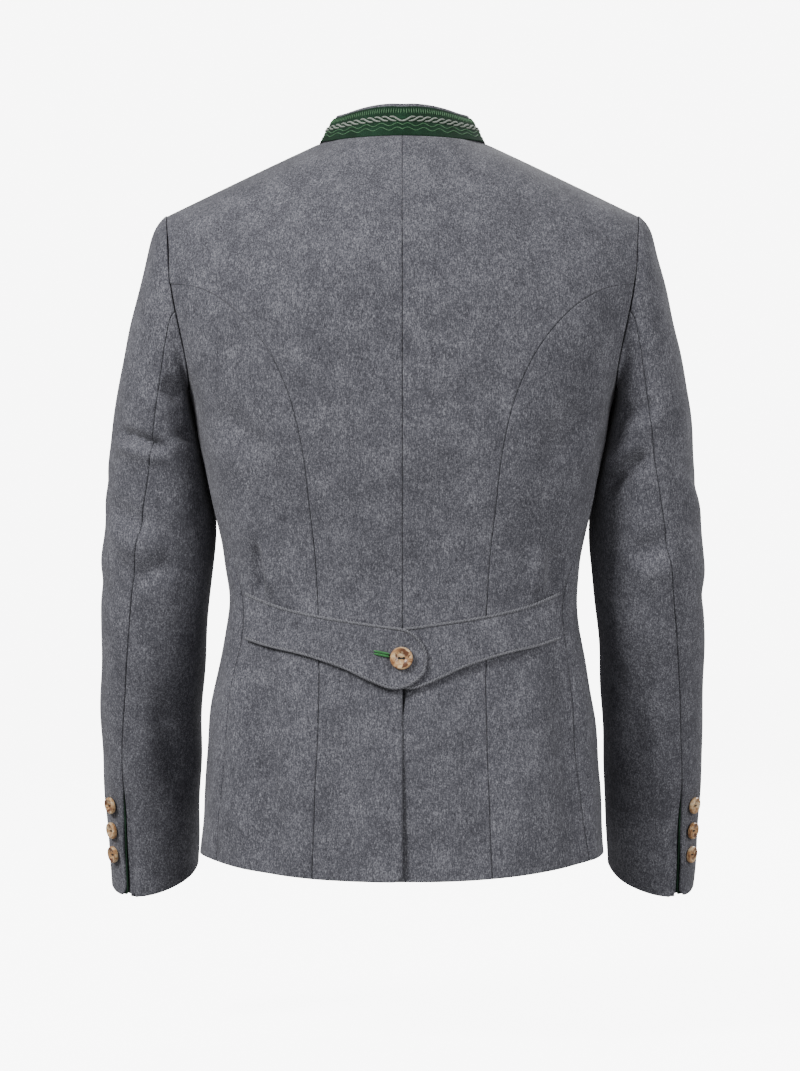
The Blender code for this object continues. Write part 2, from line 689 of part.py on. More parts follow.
def buttonhole_grid(thickness):
    """The welt of the belt's buttonhole, lying on the upper belt end."""
    outer_end, inner_end, height, half = BUTTONHOLE
    rows = []
    for z in (height + half, height - half):
        rows.append([on_body(x, z, belt_lift(x, True) + LODEN + LAP_GAP + thickness)
                     for x in np.linspace(outer_end, inner_end, 5)])
    return np.array(rows)


# ------------------------------------------------------------------ the jacket

def build_jacket():
    """Makes every piece and files it in the jacket's collection."""
    for old in list(bpy.data.objects):
        bpy.data.objects.remove(old)
    jacket = bpy.data.collections.new("tyrolean_loden_jacket")
    bpy.context.scene.collection.children.link(jacket)
    hanging_point = bpy.data.objects.new("hanging_point", None)
    jacket.objects.link(hanging_point)

    loden = material("grey_loden", (0.155, 0.153, 0.168), 0.95)
    felt = material("green_felt", (0.032, 0.102, 0.045), 0.9)
    cord = material("grey_cord", (0.22, 0.22, 0.23), 0.85)
    horn = material("stag_horn", (0.56, 0.42, 0.29), 0.4)

    def add(obj, kind):
        finish(obj, jacket, hanging_point, kind)

    centre_back, side_back, front = centre_back_patch(), side_back_patch(), front_patch()
    back_edges, side_edges = ("top", "start", "end"), ("top", "start", "end")
    front_edges = ("top", "end")
    add(body_panel("back_left", centre_back, back_edges), loden)
    add(body_panel("back_right", vent_patch(centre_back), back_edges, True, underlap_lift), loden)
    add(body_panel("side_back_left", side_back, side_edges), loden)
    add(body_panel("side_back_right", side_back, side_edges, True), loden)
    add(body_panel("front_left", front, front_edges), loden)
    add(body_panel("front_right", front, front_edges, True, front_underlap_lift), loden)

    skin = sleeve_grid()
    normals = outward(skin)
    if np.mean(np.sum(normals[-1] * (skin[-1] - skin[-1].mean(axis=0)), axis=1)) < 0:
        normals = -normals
    top_columns = sleeve_columns(FOREARM_COLUMN, SLEEVE_COLUMNS + HIND_COLUMN)
    under_columns = sleeve_columns(HIND_COLUMN, FOREARM_COLUMN)
    for side, mirrored in (("left", False), ("right", True)):
        add(sleeve_panel(f"top_sleeve_{side}", skin, normals, top_columns, None, mirrored), loden)
        add(sleeve_panel(f"under_sleeve_{side}", skin, normals, under_columns, "start", mirrored),
            loden)
        add(cuff_facing(f"cuff_facing_{side}", skin, normals, mirrored), felt)
        for number, height in enumerate(CUFF_BUTTON_HEIGHTS, start=1):
            spot, facing = cuff_button_seat(height)
            centre = spot + facing * (LAP_GAP + BUTTON_THICKNESS / 2)
            name = f"cuff_button_{side}_{number}"
            add(horn_button(name, CUFF_BUTTON_RADIUS, centre, facing, mirrored), horn)

    felt_height = COLLAR_HEIGHT - COLLAR_EDGE
    add(cloth_wall("collar_felt", collar_grid(0, felt_height), collar_grid(FELT, felt_height)), felt)
    inner_depth = FELT + SEAM_GAP
    add(cloth_wall("collar_inner", collar_grid(inner_depth, COLLAR_HEIGHT),
                   collar_grid(inner_depth + LODEN, COLLAR_HEIGHT)), loden)

    for side, upper in (("left", True), ("right", False)):
        mirrored = not upper
        add(cloth_wall(f"half_belt_{side}", belt_grid(upper, LODEN), belt_grid(upper, 0), mirrored),
            loden)
        add(edge_cord(f"belt_cord_{side}", belt_cord_line(upper), mirrored), cord)
    add(cloth_wall("belt_buttonhole", buttonhole_grid(1.0), buttonhole_grid(0)), felt)

    across, height = BELT_BUTTON
    lift = belt_lift(across, True) + LODEN
    slope = on_body(across, height + 8, lift) - on_body(across, height - 8, lift)
    facing = np.cross(slope, (1, 0, 0))
    facing /= np.linalg.norm(facing)
    seat = on_body(across, height, lift) + facing * (2 * LAP_GAP + BUTTON_THICKNESS / 2)
    add(horn_button("belt_button", BELT_BUTTON_RADIUS, seat, facing), horn)
    for number, height in enumerate(FRONT_BUTTON_HEIGHTS, start=1):
        seat = body_point(180, height, LAP_GAP + BUTTON_THICKNESS / 2)
        slope = body_point(180, height + 5) - body_point(180, height - 5)
        facing = np.cross((1, 0, 0), slope)
        facing /= np.linalg.norm(facing) * (-1 if facing[1] > 0 else 1)
        add(horn_button(f"front_button_{number}", FRONT_BUTTON_RADIUS, seat, facing), horn)


build_jacket()
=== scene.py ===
"""The looks of a Tyrolean loden jacket with a green stand collar, a half-belt and horn buttons.

Every cloth piece is a thin shell through the points of its solid: the solid's outer grid is read,
a smooth surface is laid through it, folds are pressed in by listed troughs and the seam edges
are rolled under. Units are metres, +Z is up, the front faces -Y and the wearer's left is +X.
"""
import json
import math
from collections import namedtuple

import bmesh
import bpy
import numpy as np
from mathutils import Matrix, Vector

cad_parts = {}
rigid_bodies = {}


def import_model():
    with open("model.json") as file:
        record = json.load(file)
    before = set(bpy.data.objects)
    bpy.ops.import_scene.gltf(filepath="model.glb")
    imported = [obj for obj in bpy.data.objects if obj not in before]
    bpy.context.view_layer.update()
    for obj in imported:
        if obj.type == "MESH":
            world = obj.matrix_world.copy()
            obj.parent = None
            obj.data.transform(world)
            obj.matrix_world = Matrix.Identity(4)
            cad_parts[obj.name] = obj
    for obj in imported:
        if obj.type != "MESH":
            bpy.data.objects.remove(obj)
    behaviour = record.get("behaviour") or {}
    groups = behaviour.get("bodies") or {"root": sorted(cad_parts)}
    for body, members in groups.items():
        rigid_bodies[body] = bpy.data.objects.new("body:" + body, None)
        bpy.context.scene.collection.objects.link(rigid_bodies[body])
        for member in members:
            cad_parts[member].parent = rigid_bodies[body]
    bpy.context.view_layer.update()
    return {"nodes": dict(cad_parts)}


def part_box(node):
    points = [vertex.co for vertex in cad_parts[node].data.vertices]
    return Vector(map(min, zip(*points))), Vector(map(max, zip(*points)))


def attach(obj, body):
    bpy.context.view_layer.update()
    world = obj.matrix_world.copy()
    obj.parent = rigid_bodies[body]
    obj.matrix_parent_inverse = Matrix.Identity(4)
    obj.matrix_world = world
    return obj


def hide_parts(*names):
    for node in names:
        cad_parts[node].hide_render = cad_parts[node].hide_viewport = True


for stale in list(bpy.data.objects):
    bpy.data.objects.remove(stale)
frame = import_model()

MM = 0.001
LODEN = 2.0 * MM             # thickness of the cloth wall
FELT = 1.5 * MM
CLOTH_STEP = 4.0 * MM        # size of the finished mesh's faces on the panels
TRIM_STEP = 1.6 * MM         # and on the collar and the belt
EDGE_STEPS = np.array((0, 0.35, 0.8, 1.4, 2.4)) * MM      # finer faces along every edge
SEAM_ROLL = 1.9 * MM         # a seam edge turns under with this radius
ARMHOLE_ROLL = 0.8 * MM      # the sleeve's head is rolled less, against the body's armhole
HEM_ROLL = 1.0 * MM
SEAM_REACH = 0.25 * MM       # a seam edge runs on by this much, so that no light falls through
TINY = 1e-9                  # keeps a length from being divided by zero
RIM_TESTS = ((3.1 * MM, 0.0), (3.3 * MM, 0.4))     # length and slant of an edge across a wall

# ------------------------------------------------------------------ reading the solids

# How each wall's grid is laid out: rows down, columns across, the axis that it wraps round and
# the direction in which its columns run.
Wall = namedtuple("Wall", "rows columns axis across")
BODY_AXIS, ARM_AXIS = (0.0, 0.0), (0.243, -0.03)
COLLAR_AXIS = (0.0, -0.005)
WALLS = {
    "back": Wall(19, 7, BODY_AXIS, "out"),
    "side_back": Wall(16, 4, BODY_AXIS, "out"),
    "front": Wall(22, 9, BODY_AXIS, "out"),
    "top_sleeve": Wall(15, 8, ARM_AXIS, "back"),
    "under_sleeve": Wall(15, 5, ARM_AXIS, "back"),
    "half_belt": Wall(3, 16, BODY_AXIS, "in"),
    "collar_felt": Wall(3, 34, COLLAR_AXIS, "right"),
    "collar_inner": Wall(3, 34, COLLAR_AXIS, "right"),
}


def side_of(name):
    """1 for the wearer's left side, -1 for the right one."""
    return -1 if name.endswith("right") else 1


def crosses_wall(edge, longest, slant):
    """Whether an edge runs through the wall's thickness, from one side to the other."""
    run = edge.verts[1].co - edge.verts[0].co
    slants = [abs(run.normalized().dot(vertex.normal)) for vertex in edge.verts]
    return run.length < longest and min(slants) > slant


def skin_sides(mesh, rim_test):
    """The wall's two sides: its faces without the rim, whose faces all cross the wall."""
    left = {face for face in mesh.faces
            if not any(crosses_wall(edge, *rim_test) for edge in face.edges)}
    sides = []
    while left:
        side, waiting = set(), [left.pop()]
        while waiting:
            face = waiting.pop()
            side.add(face)
            for edge in face.edges:
                reached = left.intersection(edge.link_faces)
                left -= reached
                waiting.extend(reached)
        sides.append(side)
    return sides


def outer_skin(mesh, wall, side):
    """The faces of the wall's outer side."""
    axis = Vector((wall.axis[0] * side, wall.axis[1], 0))

    def facing_out(faces):
        return sum(face.normal.xy.dot((face.calc_center_median() - axis).xy) * face.calc_area()
                   for face in faces)
    for rim_test in RIM_TESTS:
        sides = [faces for faces in skin_sides(mesh, rim_test)
                 if len(faces) == 2 * wall.rows * wall.columns]
        if len(sides) == 2:
            return max(sides, key=facing_out)
    raise RuntimeError("a wall has no clear outer side")


def rim_of(faces):
    """The corner points round a patch of faces, in order."""
    onward = {}
    for face in faces:
        for loop in face.loops:
            if not any(other in faces for other in loop.edge.link_faces if other is not face):
                onward[loop.vert] = loop.link_loop_next.vert
    start = next(iter(onward))
    rim, spot = [start], onward[start]
    while spot is not start:
        rim.append(spot)
        spot = onward[spot]
    return rim


def rim_from_corner(rim, wall):
    """The rim turned round so that it starts at the corner where the top row starts."""
    count = len(rim)
    points = [vertex.co for vertex in rim]
    bends = [(points[i] - points[i - 1]).angle(points[(i + 1) % count] - points[i])
             for i in range(count)]
    stops = (0, wall.columns, wall.columns + wall.rows, 2 * wall.columns + wall.rows)

    def sharpness(start):
        return sum(bends[(start + stop) % count] for stop in stops)
    best = max(range(count // 2), key=lambda start: sharpness(start) + sharpness(start + count // 2))
    turned = rim[best:] + rim[:best]
    half = count // 2
    top = sum(vertex.co.z for vertex in turned[:wall.columns + 1])
    bottom = sum(vertex.co.z for vertex in turned[half:half + wall.columns + 1])
    return turned if top > bottom else turned[half:] + turned[:half]


def wall_grid(name, kind):
    """The outer points of a cloth solid as an array: rows down, columns across."""
    wall = WALLS[kind]
    side = side_of(name)
    mesh = bmesh.new()
    mesh.from_mesh(frame["nodes"][name].data)
    bmesh.ops.remove_doubles(mesh, verts=mesh.verts, dist=0.02 * MM)
    mesh.normal_update()
    skin = outer_skin(mesh, wall, side)
    rim = rim_from_corner(rim_of(skin), wall)
    grid = [[None] * (wall.columns + 1) for _ in range(wall.rows + 1)]
    for column in range(wall.columns + 1):
        grid[0][column] = rim[column]
    for row in range(1, wall.rows + 1):
        grid[row][0] = rim[-row]
    beside = {}
    for face in skin:
        for loop in face.loops:
            pair = frozenset((loop.vert, loop.link_loop_next.vert))
            beside.setdefault(pair, []).append(face)
    used = set()

    def third(first, second):
        face = next(f for f in beside[frozenset((first, second))] if f not in used)
        used.add(face)
        return next(v for v in face.verts if v not in (first, second))
    for row in range(wall.rows):
        for column in range(wall.columns):
            here, right, below = grid[row][column], grid[row][column + 1], grid[row + 1][column]
            found = third(here, right)
            if found is below:
                found = third(right, below)
            else:
                third(here, found)
            grid[row + 1][column + 1] = found
    points = np.array([[tuple(vertex.co) for vertex in line] for line in grid])
    mesh.free()
    first, last = points[:, 0].mean(axis=0), points[:, -1].mean(axis=0)
    runs = {"out": abs(first[0]) < abs(last[0]), "in": first[0] * side > last[0] * side,
            "back": first[1] < last[1], "right": first[0] < last[0]}
    return points if runs[wall.across] else points[:, ::-1]


# ------------------------------------------------------------------ smooth surfaces

def curve_weights(knots, where):
    """Weights that turn values at the knots into values on the smooth cubic through them."""
    knots, where = np.asarray(knots, float), np.atleast_1d(where)
    count = len(knots)
    if count == 2:
        share = (where - knots[0]) / (knots[1] - knots[0])
        return np.column_stack([1 - share, share])
    span = np.diff(knots)
    bending, known = np.zeros((count, count)), np.zeros((count, count))
    for i in range(1, count - 1):
        bending[i, i - 1:i + 2] = span[i - 1], 2 * (span[i - 1] + span[i]), span[i]
        known[i, i - 1:i + 2] = 6 / span[i - 1], -6 / span[i - 1] - 6 / span[i], 6 / span[i]
    bending[0, :2] = bending[-1, -2:] = 1, -1          # the ends keep their neighbour's bend
    bends = np.linalg.solve(bending, known)
    index = np.clip(np.searchsorted(knots, where) - 1, 0, count - 2)
    width = span[index]
    after = (where - knots[index]) / width
    before = 1 - after
    unit = np.eye(count)
    return (before[:, None] * unit[index] + after[:, None] * unit[index + 1]
            + ((before ** 3 - before) * width ** 2 / 6)[:, None] * bends[index]
            + ((after ** 3 - after) * width ** 2 / 6)[:, None] * bends[index + 1])


def broken_weights(knots, where, corner):
    """The same, with a corner kept at one knot."""
    weights = np.zeros((len(where), len(knots)))
    first = where <= knots[corner]
    weights[np.ix_(first, range(corner + 1))] = curve_weights(knots[:corner + 1], where[first])
    weights[np.ix_(~first, range(corner, len(knots)))] = curve_weights(knots[corner:], where[~first])
    return weights


def fine_steps(length, step, first_reach=0.0, last_reach=0.0):
    """Places along a length, close together at both ends, which may run on a little."""
    inner = EDGE_STEPS[-1]
    count = max(2, round((length - 2 * inner) / step))
    middle = np.linspace(inner, length - inner, count + 1)[1:-1]
    places = np.r_[EDGE_STEPS, middle, length - EDGE_STEPS[::-1]]
    places[0] -= first_reach
    places[-1] += last_reach
    return places


# A corner kept at a row shows most at the end edge, and one kept at a column at the top edge.
ROW_CORNER_FADE, COLUMN_CORNER_FADE = 6, 10


class Surface:
    """A smooth surface through a grid of points, measured along its rows and columns."""

    def __init__(self, grid, corner_row=None, corner_column=None):
        self.grid = grid
        down = np.linalg.norm(np.diff(grid, axis=0), axis=2).mean(axis=1)
        across = np.linalg.norm(np.diff(grid, axis=1), axis=2).mean(axis=0)
        self.down, self.across = np.r_[0, np.cumsum(down)], np.r_[0, np.cumsum(across)]
        self.height, self.width = self.down[-1], self.across[-1]
        self.corner_row, self.corner_column = corner_row, corner_column

    def lattice(self, down, across):
        """Points at every crossing of the given places."""
        rows, columns = curve_weights(self.down, down), curve_weights(self.across, across)
        points = np.einsum("ri,cj,ijk->rck", rows, columns, self.grid)
        if self.corner_row is not None:
            broken = broken_weights(self.down, down, self.corner_row)
            share = (across / self.width)[None, :, None] ** ROW_CORNER_FADE
            points = (1 - share) * points + share * np.einsum("ri,cj,ijk->rck", broken, columns,
                                                              self.grid)
        if self.corner_column is not None:
            broken = broken_weights(self.across, across, self.corner_column)
            share = (1 - down / self.height)[:, None, None] ** COLUMN_CORNER_FADE
            points = (1 - share) * points + share * np.einsum("ri,cj,ijk->rck", rows, broken,
                                                              self.grid)
        return points

    def spots(self, down, across, out=0.0):
        """Points at given pairs of places, raised off the surface."""
        step = 0.2 * MM

        def at(v, u):
            return np.einsum("ni,nj,ijk->nk", curve_weights(self.down, v),
                             curve_weights(self.across, u), self.grid)
        here = at(down, across)
        normal = np.cross(at(down + step, across) - here, at(down, across + step) - here)
        normal /= np.linalg.norm(normal, axis=1, keepdims=True)
        return here + normal * np.reshape(out, (-1, 1)) * self.handedness, normal * self.handedness

    def face_away_from(self, axis):
        """Settles which side of the surface is the outer one."""
        self.handedness = 1
        middle = np.array([self.height / 2]), np.array([self.width / 2])
        spot, normal = self.spots(*middle)
        away = (spot[0] - np.array((*axis, 0.0)))[:2]
        self.handedness = 1 if np.dot(normal[0][:2], away) > 0 else -1
        return self


def lattice_normals(points, handedness):
    """Unit normals of a lattice of points."""
    normals = np.cross(np.gradient(points, axis=0), np.gradient(points, axis=1)) * handedness
    return normals / np.linalg.norm(normals, axis=2, keepdims=True)


def ramp(value, start, end):
    """Rises smoothly from 0 at start to 1 at end."""
    share = np.clip((value - start) / (end - start), 0.0, 1.0)
    return share * share * (3 - 2 * share)


def edge_distances(points):
    """How far each point lies from the top, bottom, start and end edges, along the cloth."""
    down = np.linalg.norm(np.diff(points, axis=0), axis=2)
    across = np.linalg.norm(np.diff(points, axis=1), axis=2)
    from_top = np.vstack([np.zeros((1, points.shape[1])), np.cumsum(down, axis=0)])
    from_start = np.hstack([np.zeros((points.shape[0], 1)), np.cumsum(across, axis=1)])
    return {"top": from_top, "bottom": from_top[-1] - from_top,
            "start": from_start, "end": from_start[:, -1:] - from_start}


def rolled(distance, radius):
    """How far a rolled edge has dropped at a distance from the edge."""
    short = np.clip(radius - distance, 0, radius)
    return radius - np.sqrt(radius ** 2 - short ** 2)


def rolled_edges(points, radii):
    """How far each point has dropped where the edges of the cloth are rolled under."""
    distances = edge_distances(points)
    return np.maximum.reduce([rolled(distances[edge], radius) for edge, radius in radii.items()])


# ------------------------------------------------------------------ folds

# Troughs across the cloth, by the part and the side from which they are seen. Start and end give
# the place across and the height; a ridge of cloth stands beside each, on the left of its run
# when ridge is positive.
Fold = namedtuple("Fold", "start end width depth ridge")
FOLDS = {
    ("sleeve_left", "back"): (
        Fold((0.278, -0.274), (0.222, -0.294), 0.0055, 0.0036, 0.5),
        Fold((0.219, -0.273), (0.192, -0.285), 0.0060, 0.0030, 0.4),
        Fold((0.231, -0.229), (0.207, -0.246), 0.0080, 0.0032, 0.4),
        Fold((0.285, -0.345), (0.240, -0.372), 0.0110, 0.0022, 0.5),
        Fold((0.262, -0.420), (0.215, -0.400), 0.0130, 0.0020, -0.5),
        Fold((0.240, -0.520), (0.212, -0.640), 0.0150, 0.0018, 0.4),
    ),
    ("sleeve_right", "back"): (
        Fold((-0.186, -0.334), (-0.238, -0.294), 0.0075, 0.0038, -0.7),
        Fold((-0.200, -0.262), (-0.246, -0.250), 0.0090, 0.0024, 0.5),
        Fold((-0.215, -0.395), (-0.262, -0.380), 0.0120, 0.0022, 0.5),
        Fold((-0.245, -0.470), (-0.222, -0.600), 0.0150, 0.0018, 0.4),
    ),
    ("body", "back"): (
        Fold((0.141, -0.380), (0.134, -0.436), 0.0050, 0.0034, -0.6),
        Fold((-0.145, -0.385), (-0.142, -0.434), 0.0070, 0.0024, 0.5),
        Fold((0.132, -0.480), (0.126, -0.715), 0.0130, 0.0032, 0.6),
        Fold((-0.150, -0.490), (-0.168, -0.700), 0.0140, 0.0026, -0.6),
        Fold((0.060, -0.540), (0.052, -0.715), 0.0190, 0.0020, 0.5),
        Fold((-0.070, -0.550), (-0.078, -0.715), 0.0200, 0.0020, -0.4),
        Fold((0.175, -0.255), (0.128, -0.300), 0.0140, 0.0022, 0.4),
        Fold((-0.178, -0.250), (-0.135, -0.305), 0.0150, 0.0024, -0.4),
    ),
    ("body", "front"): (
        Fold((0.190, -0.262), (0.120, -0.330), 0.0140, 0.0030, -0.5),
        Fold((-0.190, -0.258), (-0.125, -0.340), 0.0130, 0.0028, 0.5),
        Fold((0.150, -0.400), (0.060, -0.425), 0.0120, 0.0026, 0.5),
        Fold((-0.155, -0.395), (-0.070, -0.430), 0.0130, 0.0024, -0.5),
        Fold((0.120, -0.480), (0.132, -0.715), 0.0170, 0.0030, 0.5),
        Fold((-0.115, -0.490), (-0.126, -0.715), 0.0180, 0.0028, -0.5),
    ),
    ("sleeve_left", "front"): (
        Fold((0.285, -0.330), (0.235, -0.352), 0.0100, 0.0034, 0.5),
        Fold((0.270, -0.395), (0.222, -0.384), 0.0090, 0.0030, -0.5),
        Fold((0.280, -0.450), (0.235, -0.470), 0.0120, 0.0024, 0.5),
    ),
    ("sleeve_right", "front"): (
        Fold((-0.285, -0.338), (-0.230, -0.358), 0.0100, 0.0034, -0.5),
        Fold((-0.272, -0.402), (-0.225, -0.392), 0.0095, 0.0030, 0.5),
        Fold((-0.280, -0.460), (-0.238, -0.478), 0.0120, 0.0024, -0.5),
    ),
    ("sleeve_left", "side"): (
        Fold((0.030, -0.300), (-0.040, -0.335), 0.0110, 0.0024, 0.5),
        Fold((0.020, -0.430), (-0.070, -0.410), 0.0130, 0.0026, -0.5),
    ),
    ("sleeve_right", "side"): (
        Fold((0.025, -0.310), (-0.050, -0.340), 0.0110, 0.0026, 0.5),
        Fold((0.015, -0.440), (-0.070, -0.425), 0.0120, 0.0024, -0.5),
    ),
}
FOLD_FADE = (-0.05, 0.3)     # a fold fades out between these shares of its run at each end
RIDGE_PLACE, RIDGE_WIDTH = 1.9, 1.3     # of the ridge beside a trough, in widths of the trough
FOLD_STRENGTH = 2.6
SIDE_STRENGTH = 0.7          # folds seen from the side are soft, so the outline stays calm
FOLD_FACING = (0.25, 0.60)   # a fold grows as the cloth turns towards its view


def fold_height(fold, across, height):
    """How far one fold moves the cloth at the given places, in or out."""
    spot = np.stack([across, height], axis=-1)
    start, end = np.array(fold.start), np.array(fold.end)
    run = end - start
    length = np.linalg.norm(run)
    run /= length
    along = (spot - start) @ run / length
    aside = (spot - start) @ np.array((-run[1], run[0])) / fold.width
    fade = ramp(along, *FOLD_FADE) * ramp(1 - along, *FOLD_FADE)
    from_ridge = (aside - math.copysign(RIDGE_PLACE, fold.ridge)) / RIDGE_WIDTH
    shape = -np.exp(-aside ** 2) + abs(fold.ridge) * np.exp(-from_ridge ** 2)
    return fold.depth * fade * shape


def fold_heights(name, points, normals):
    """How far the folds of a piece move each of its points in or out."""
    side = "left" if side_of(name) > 0 else "right"
    own_part = f"sleeve_{side}" if "sleeve" in name else "body"
    views = {"back": (points[..., 0], normals[..., 1], FOLD_STRENGTH),
             "front": (points[..., 0], -normals[..., 1], FOLD_STRENGTH),
             "side": (points[..., 1], normals[..., 0] * side_of(name), SIDE_STRENGTH)}
    total = np.zeros(points.shape[:2])
    for (part, view), folds in FOLDS.items():
        across, facing, strength = views[view]
        if part == own_part:
            total += strength * ramp(facing, *FOLD_FACING) * sum(
                fold_height(fold, across, points[..., 2]) for fold in folds)
    return total


# A loose unevenness of the cloth: sums of long soft waves, which no two places share.
Wave = namedtuple("Wave", "direction length height phase")
WAVES = (
    Wave((0.9, 0.2, 0.4), 0.113, 0.0006, 0.4),
    Wave((-0.5, 0.6, 0.6), 0.083, 0.0005, 1.9),
    Wave((0.3, -0.4, 0.9), 0.061, 0.00035, 3.1),
    Wave((0.7, 0.7, -0.5), 0.047, 0.00025, 5.2),
)


def unevenness(points):
    """Small soft waves that keep any stretch of cloth from being perfectly even."""
    return sum(wave.height * np.sin(points @ np.array(wave.direction) * 2 * math.pi / wave.length
                                    + wave.phase) for wave in WAVES)


# ------------------------------------------------------------------ meshes

def only_select(obj):
    """Makes one object the selected and active one."""
    bpy.ops.object.select_all(action="DESELECT")
    obj.select_set(True)
    bpy.context.view_layer.objects.active = obj


def apply_modifiers(obj):
    """Applies an object's modifiers in order."""
    only_select(obj)
    for modifier in list(obj.modifiers):
        bpy.ops.object.modifier_apply(modifier=modifier.name)


def name_piece(obj, name):
    """Names an object and its mesh."""
    obj.name = obj.data.name = name
    return obj


def add_object(name, data):
    """Puts a mesh, lamp or camera into the scene as an object."""
    made = bpy.data.objects.new(name, data)
    bpy.context.scene.collection.objects.link(made)
    return made


def turn_faces_outwards(obj):
    """Makes a closed mesh's faces point out of it."""
    only_select(obj)
    bpy.ops.object.mode_set(mode="EDIT")
    bpy.ops.mesh.select_all(action="SELECT")
    bpy.ops.mesh.normals_make_consistent(inside=False)
    bpy.ops.object.mode_set(mode="OBJECT")


def sheet_of(name, points, normals, thickness):
    """A cloth shell: a grid laid on the points, given its thickness inwards."""
    rows, columns = points.shape[0] - 1, points.shape[1] - 1
    bpy.ops.object.select_all(action="DESELECT")
    bpy.ops.mesh.primitive_grid_add(x_subdivisions=columns, y_subdivisions=rows, size=1)
    piece = name_piece(bpy.context.object, name)
    piece.data.vertices.foreach_set("co", points.reshape(-1))
    piece.data.update()
    middle = piece.data.polygons[len(piece.data.polygons) // 2]
    outward = normals.reshape(-1, 3)[middle.vertices[0]]
    if np.dot(middle.normal, outward) < 0:
        piece.data.flip_normals()
    wall = piece.modifiers.new("Wall", "SOLIDIFY")
    wall.thickness = thickness
    wall.offset = -1
    apply_modifiers(piece)
    bpy.ops.object.shade_smooth_by_angle(angle=math.radians(50))
    return piece


def finish_piece(piece, slot, look, *nodes):
    """Gives a piece its material and its body, and hides the solids that it stands for."""
    piece.data.materials.clear()
    piece.data.materials.append(look)
    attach(piece, "root")
    if nodes:
        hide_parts(*nodes)
    return piece


def round_lower_corner(points, distances, side_edge, radius):
    """Rounds the cloth's corner between its bottom and a side edge, in the plane of the cloth."""
    column, beside = (0, 4) if side_edge == "start" else (-1, -5)
    down = points[-1, column] - points[-5, column]
    across = points[-1, column] - points[-1, beside]
    down /= np.linalg.norm(down)
    across /= np.linalg.norm(across)
    near_foot = np.clip(radius - distances["bottom"], 0, radius)
    near_side = np.clip(radius - distances[side_edge], 0, radius)
    reach = np.maximum(np.hypot(near_foot, near_side), TINY)
    pull = np.where((near_foot > 0) & (near_side > 0), 1 - np.maximum(near_foot, near_side) / reach, 0)
    return points - (near_foot * pull)[..., None] * down - (near_side * pull)[..., None] * across


# ------------------------------------------------------------------ materials

def linear(colour):
    """A colour written as sRGB hex, as the shader's linear values."""
    values = [int(colour[i:i + 2], 16) / 255 for i in (1, 3, 5)]
    return (*[v / 12.92 if v <= 0.04045 else ((v + 0.055) / 1.055) ** 2.4 for v in values], 1.0)


def add_node(tree, kind, values=None, links=None, **settings):
    """Adds a node with its settings, its input values and the links into it."""
    made = tree.nodes.new(kind)
    for setting, value in settings.items():
        setattr(made, setting, value)
    for key, value in (values or {}).items():
        made.inputs[key].default_value = value
    for key, socket in (links or {}).items():
        tree.links.new(socket, made.inputs[key])
    return made


def new_look(name, roughness, **constants):
    """A material with its shader's constants set."""
    look = bpy.data.materials.new(name)
    look.use_nodes = True
    tree = look.node_tree
    shader = tree.nodes["Principled BSDF"]
    shader.inputs["Roughness"].default_value = roughness
    for key, value in constants.items():
        shader.inputs[key.replace("_", " ")].default_value = value
    return look, tree, shader


def colour_steps(tree, factor, stops):
    """A colour ramp over a factor: pairs of a place and a hex colour."""
    made = add_node(tree, "ShaderNodeValToRGB", links={"Fac": factor})
    elements = made.color_ramp.elements
    while len(elements) < len(stops):
        elements.new(0.5)
    for element, (place, colour) in zip(elements, stops):
        element.position = place
        element.color = linear(colour)
    return made.outputs["Color"]


def object_place(tree):
    """The place on the object, in metres, so that every pattern has a true size."""
    return add_node(tree, "ShaderNodeTexCoord").outputs["Object"]


def noise(tree, place, size, detail, **others):
    """A soft random pattern with lumps of about this size."""
    values = {"Scale": 1 / size, "Detail": detail, **others}
    return add_node(tree, "ShaderNodeTexNoise", values, {"Vector": place}).outputs["Fac"]


def scaled_sum(tree, pattern, scale, rest):
    """A pattern weakened by a scale and added to another one."""
    return add_node(tree, "ShaderNodeMath", {1: scale}, {0: pattern, 2: rest},
                    operation="MULTIPLY_ADD").outputs["Value"]


def spread(tree, value, start, end, first=0.0, last=1.0):
    """A value between start and end, spread over first to last."""
    return add_node(tree, "ShaderNodeMapRange", {"From Min": start, "From Max": end,
                                                 "To Min": first, "To Max": last},
                    {"Value": value}).outputs["Result"]


def raise_relief(tree, shader, pattern, strength, depth):
    """Relief from a pattern that is too fine to be modelled."""
    made = add_node(tree, "ShaderNodeBump", {"Strength": strength, "Distance": depth},
                    {"Height": pattern})
    tree.links.new(made.outputs["Normal"], shader.inputs["Normal"])


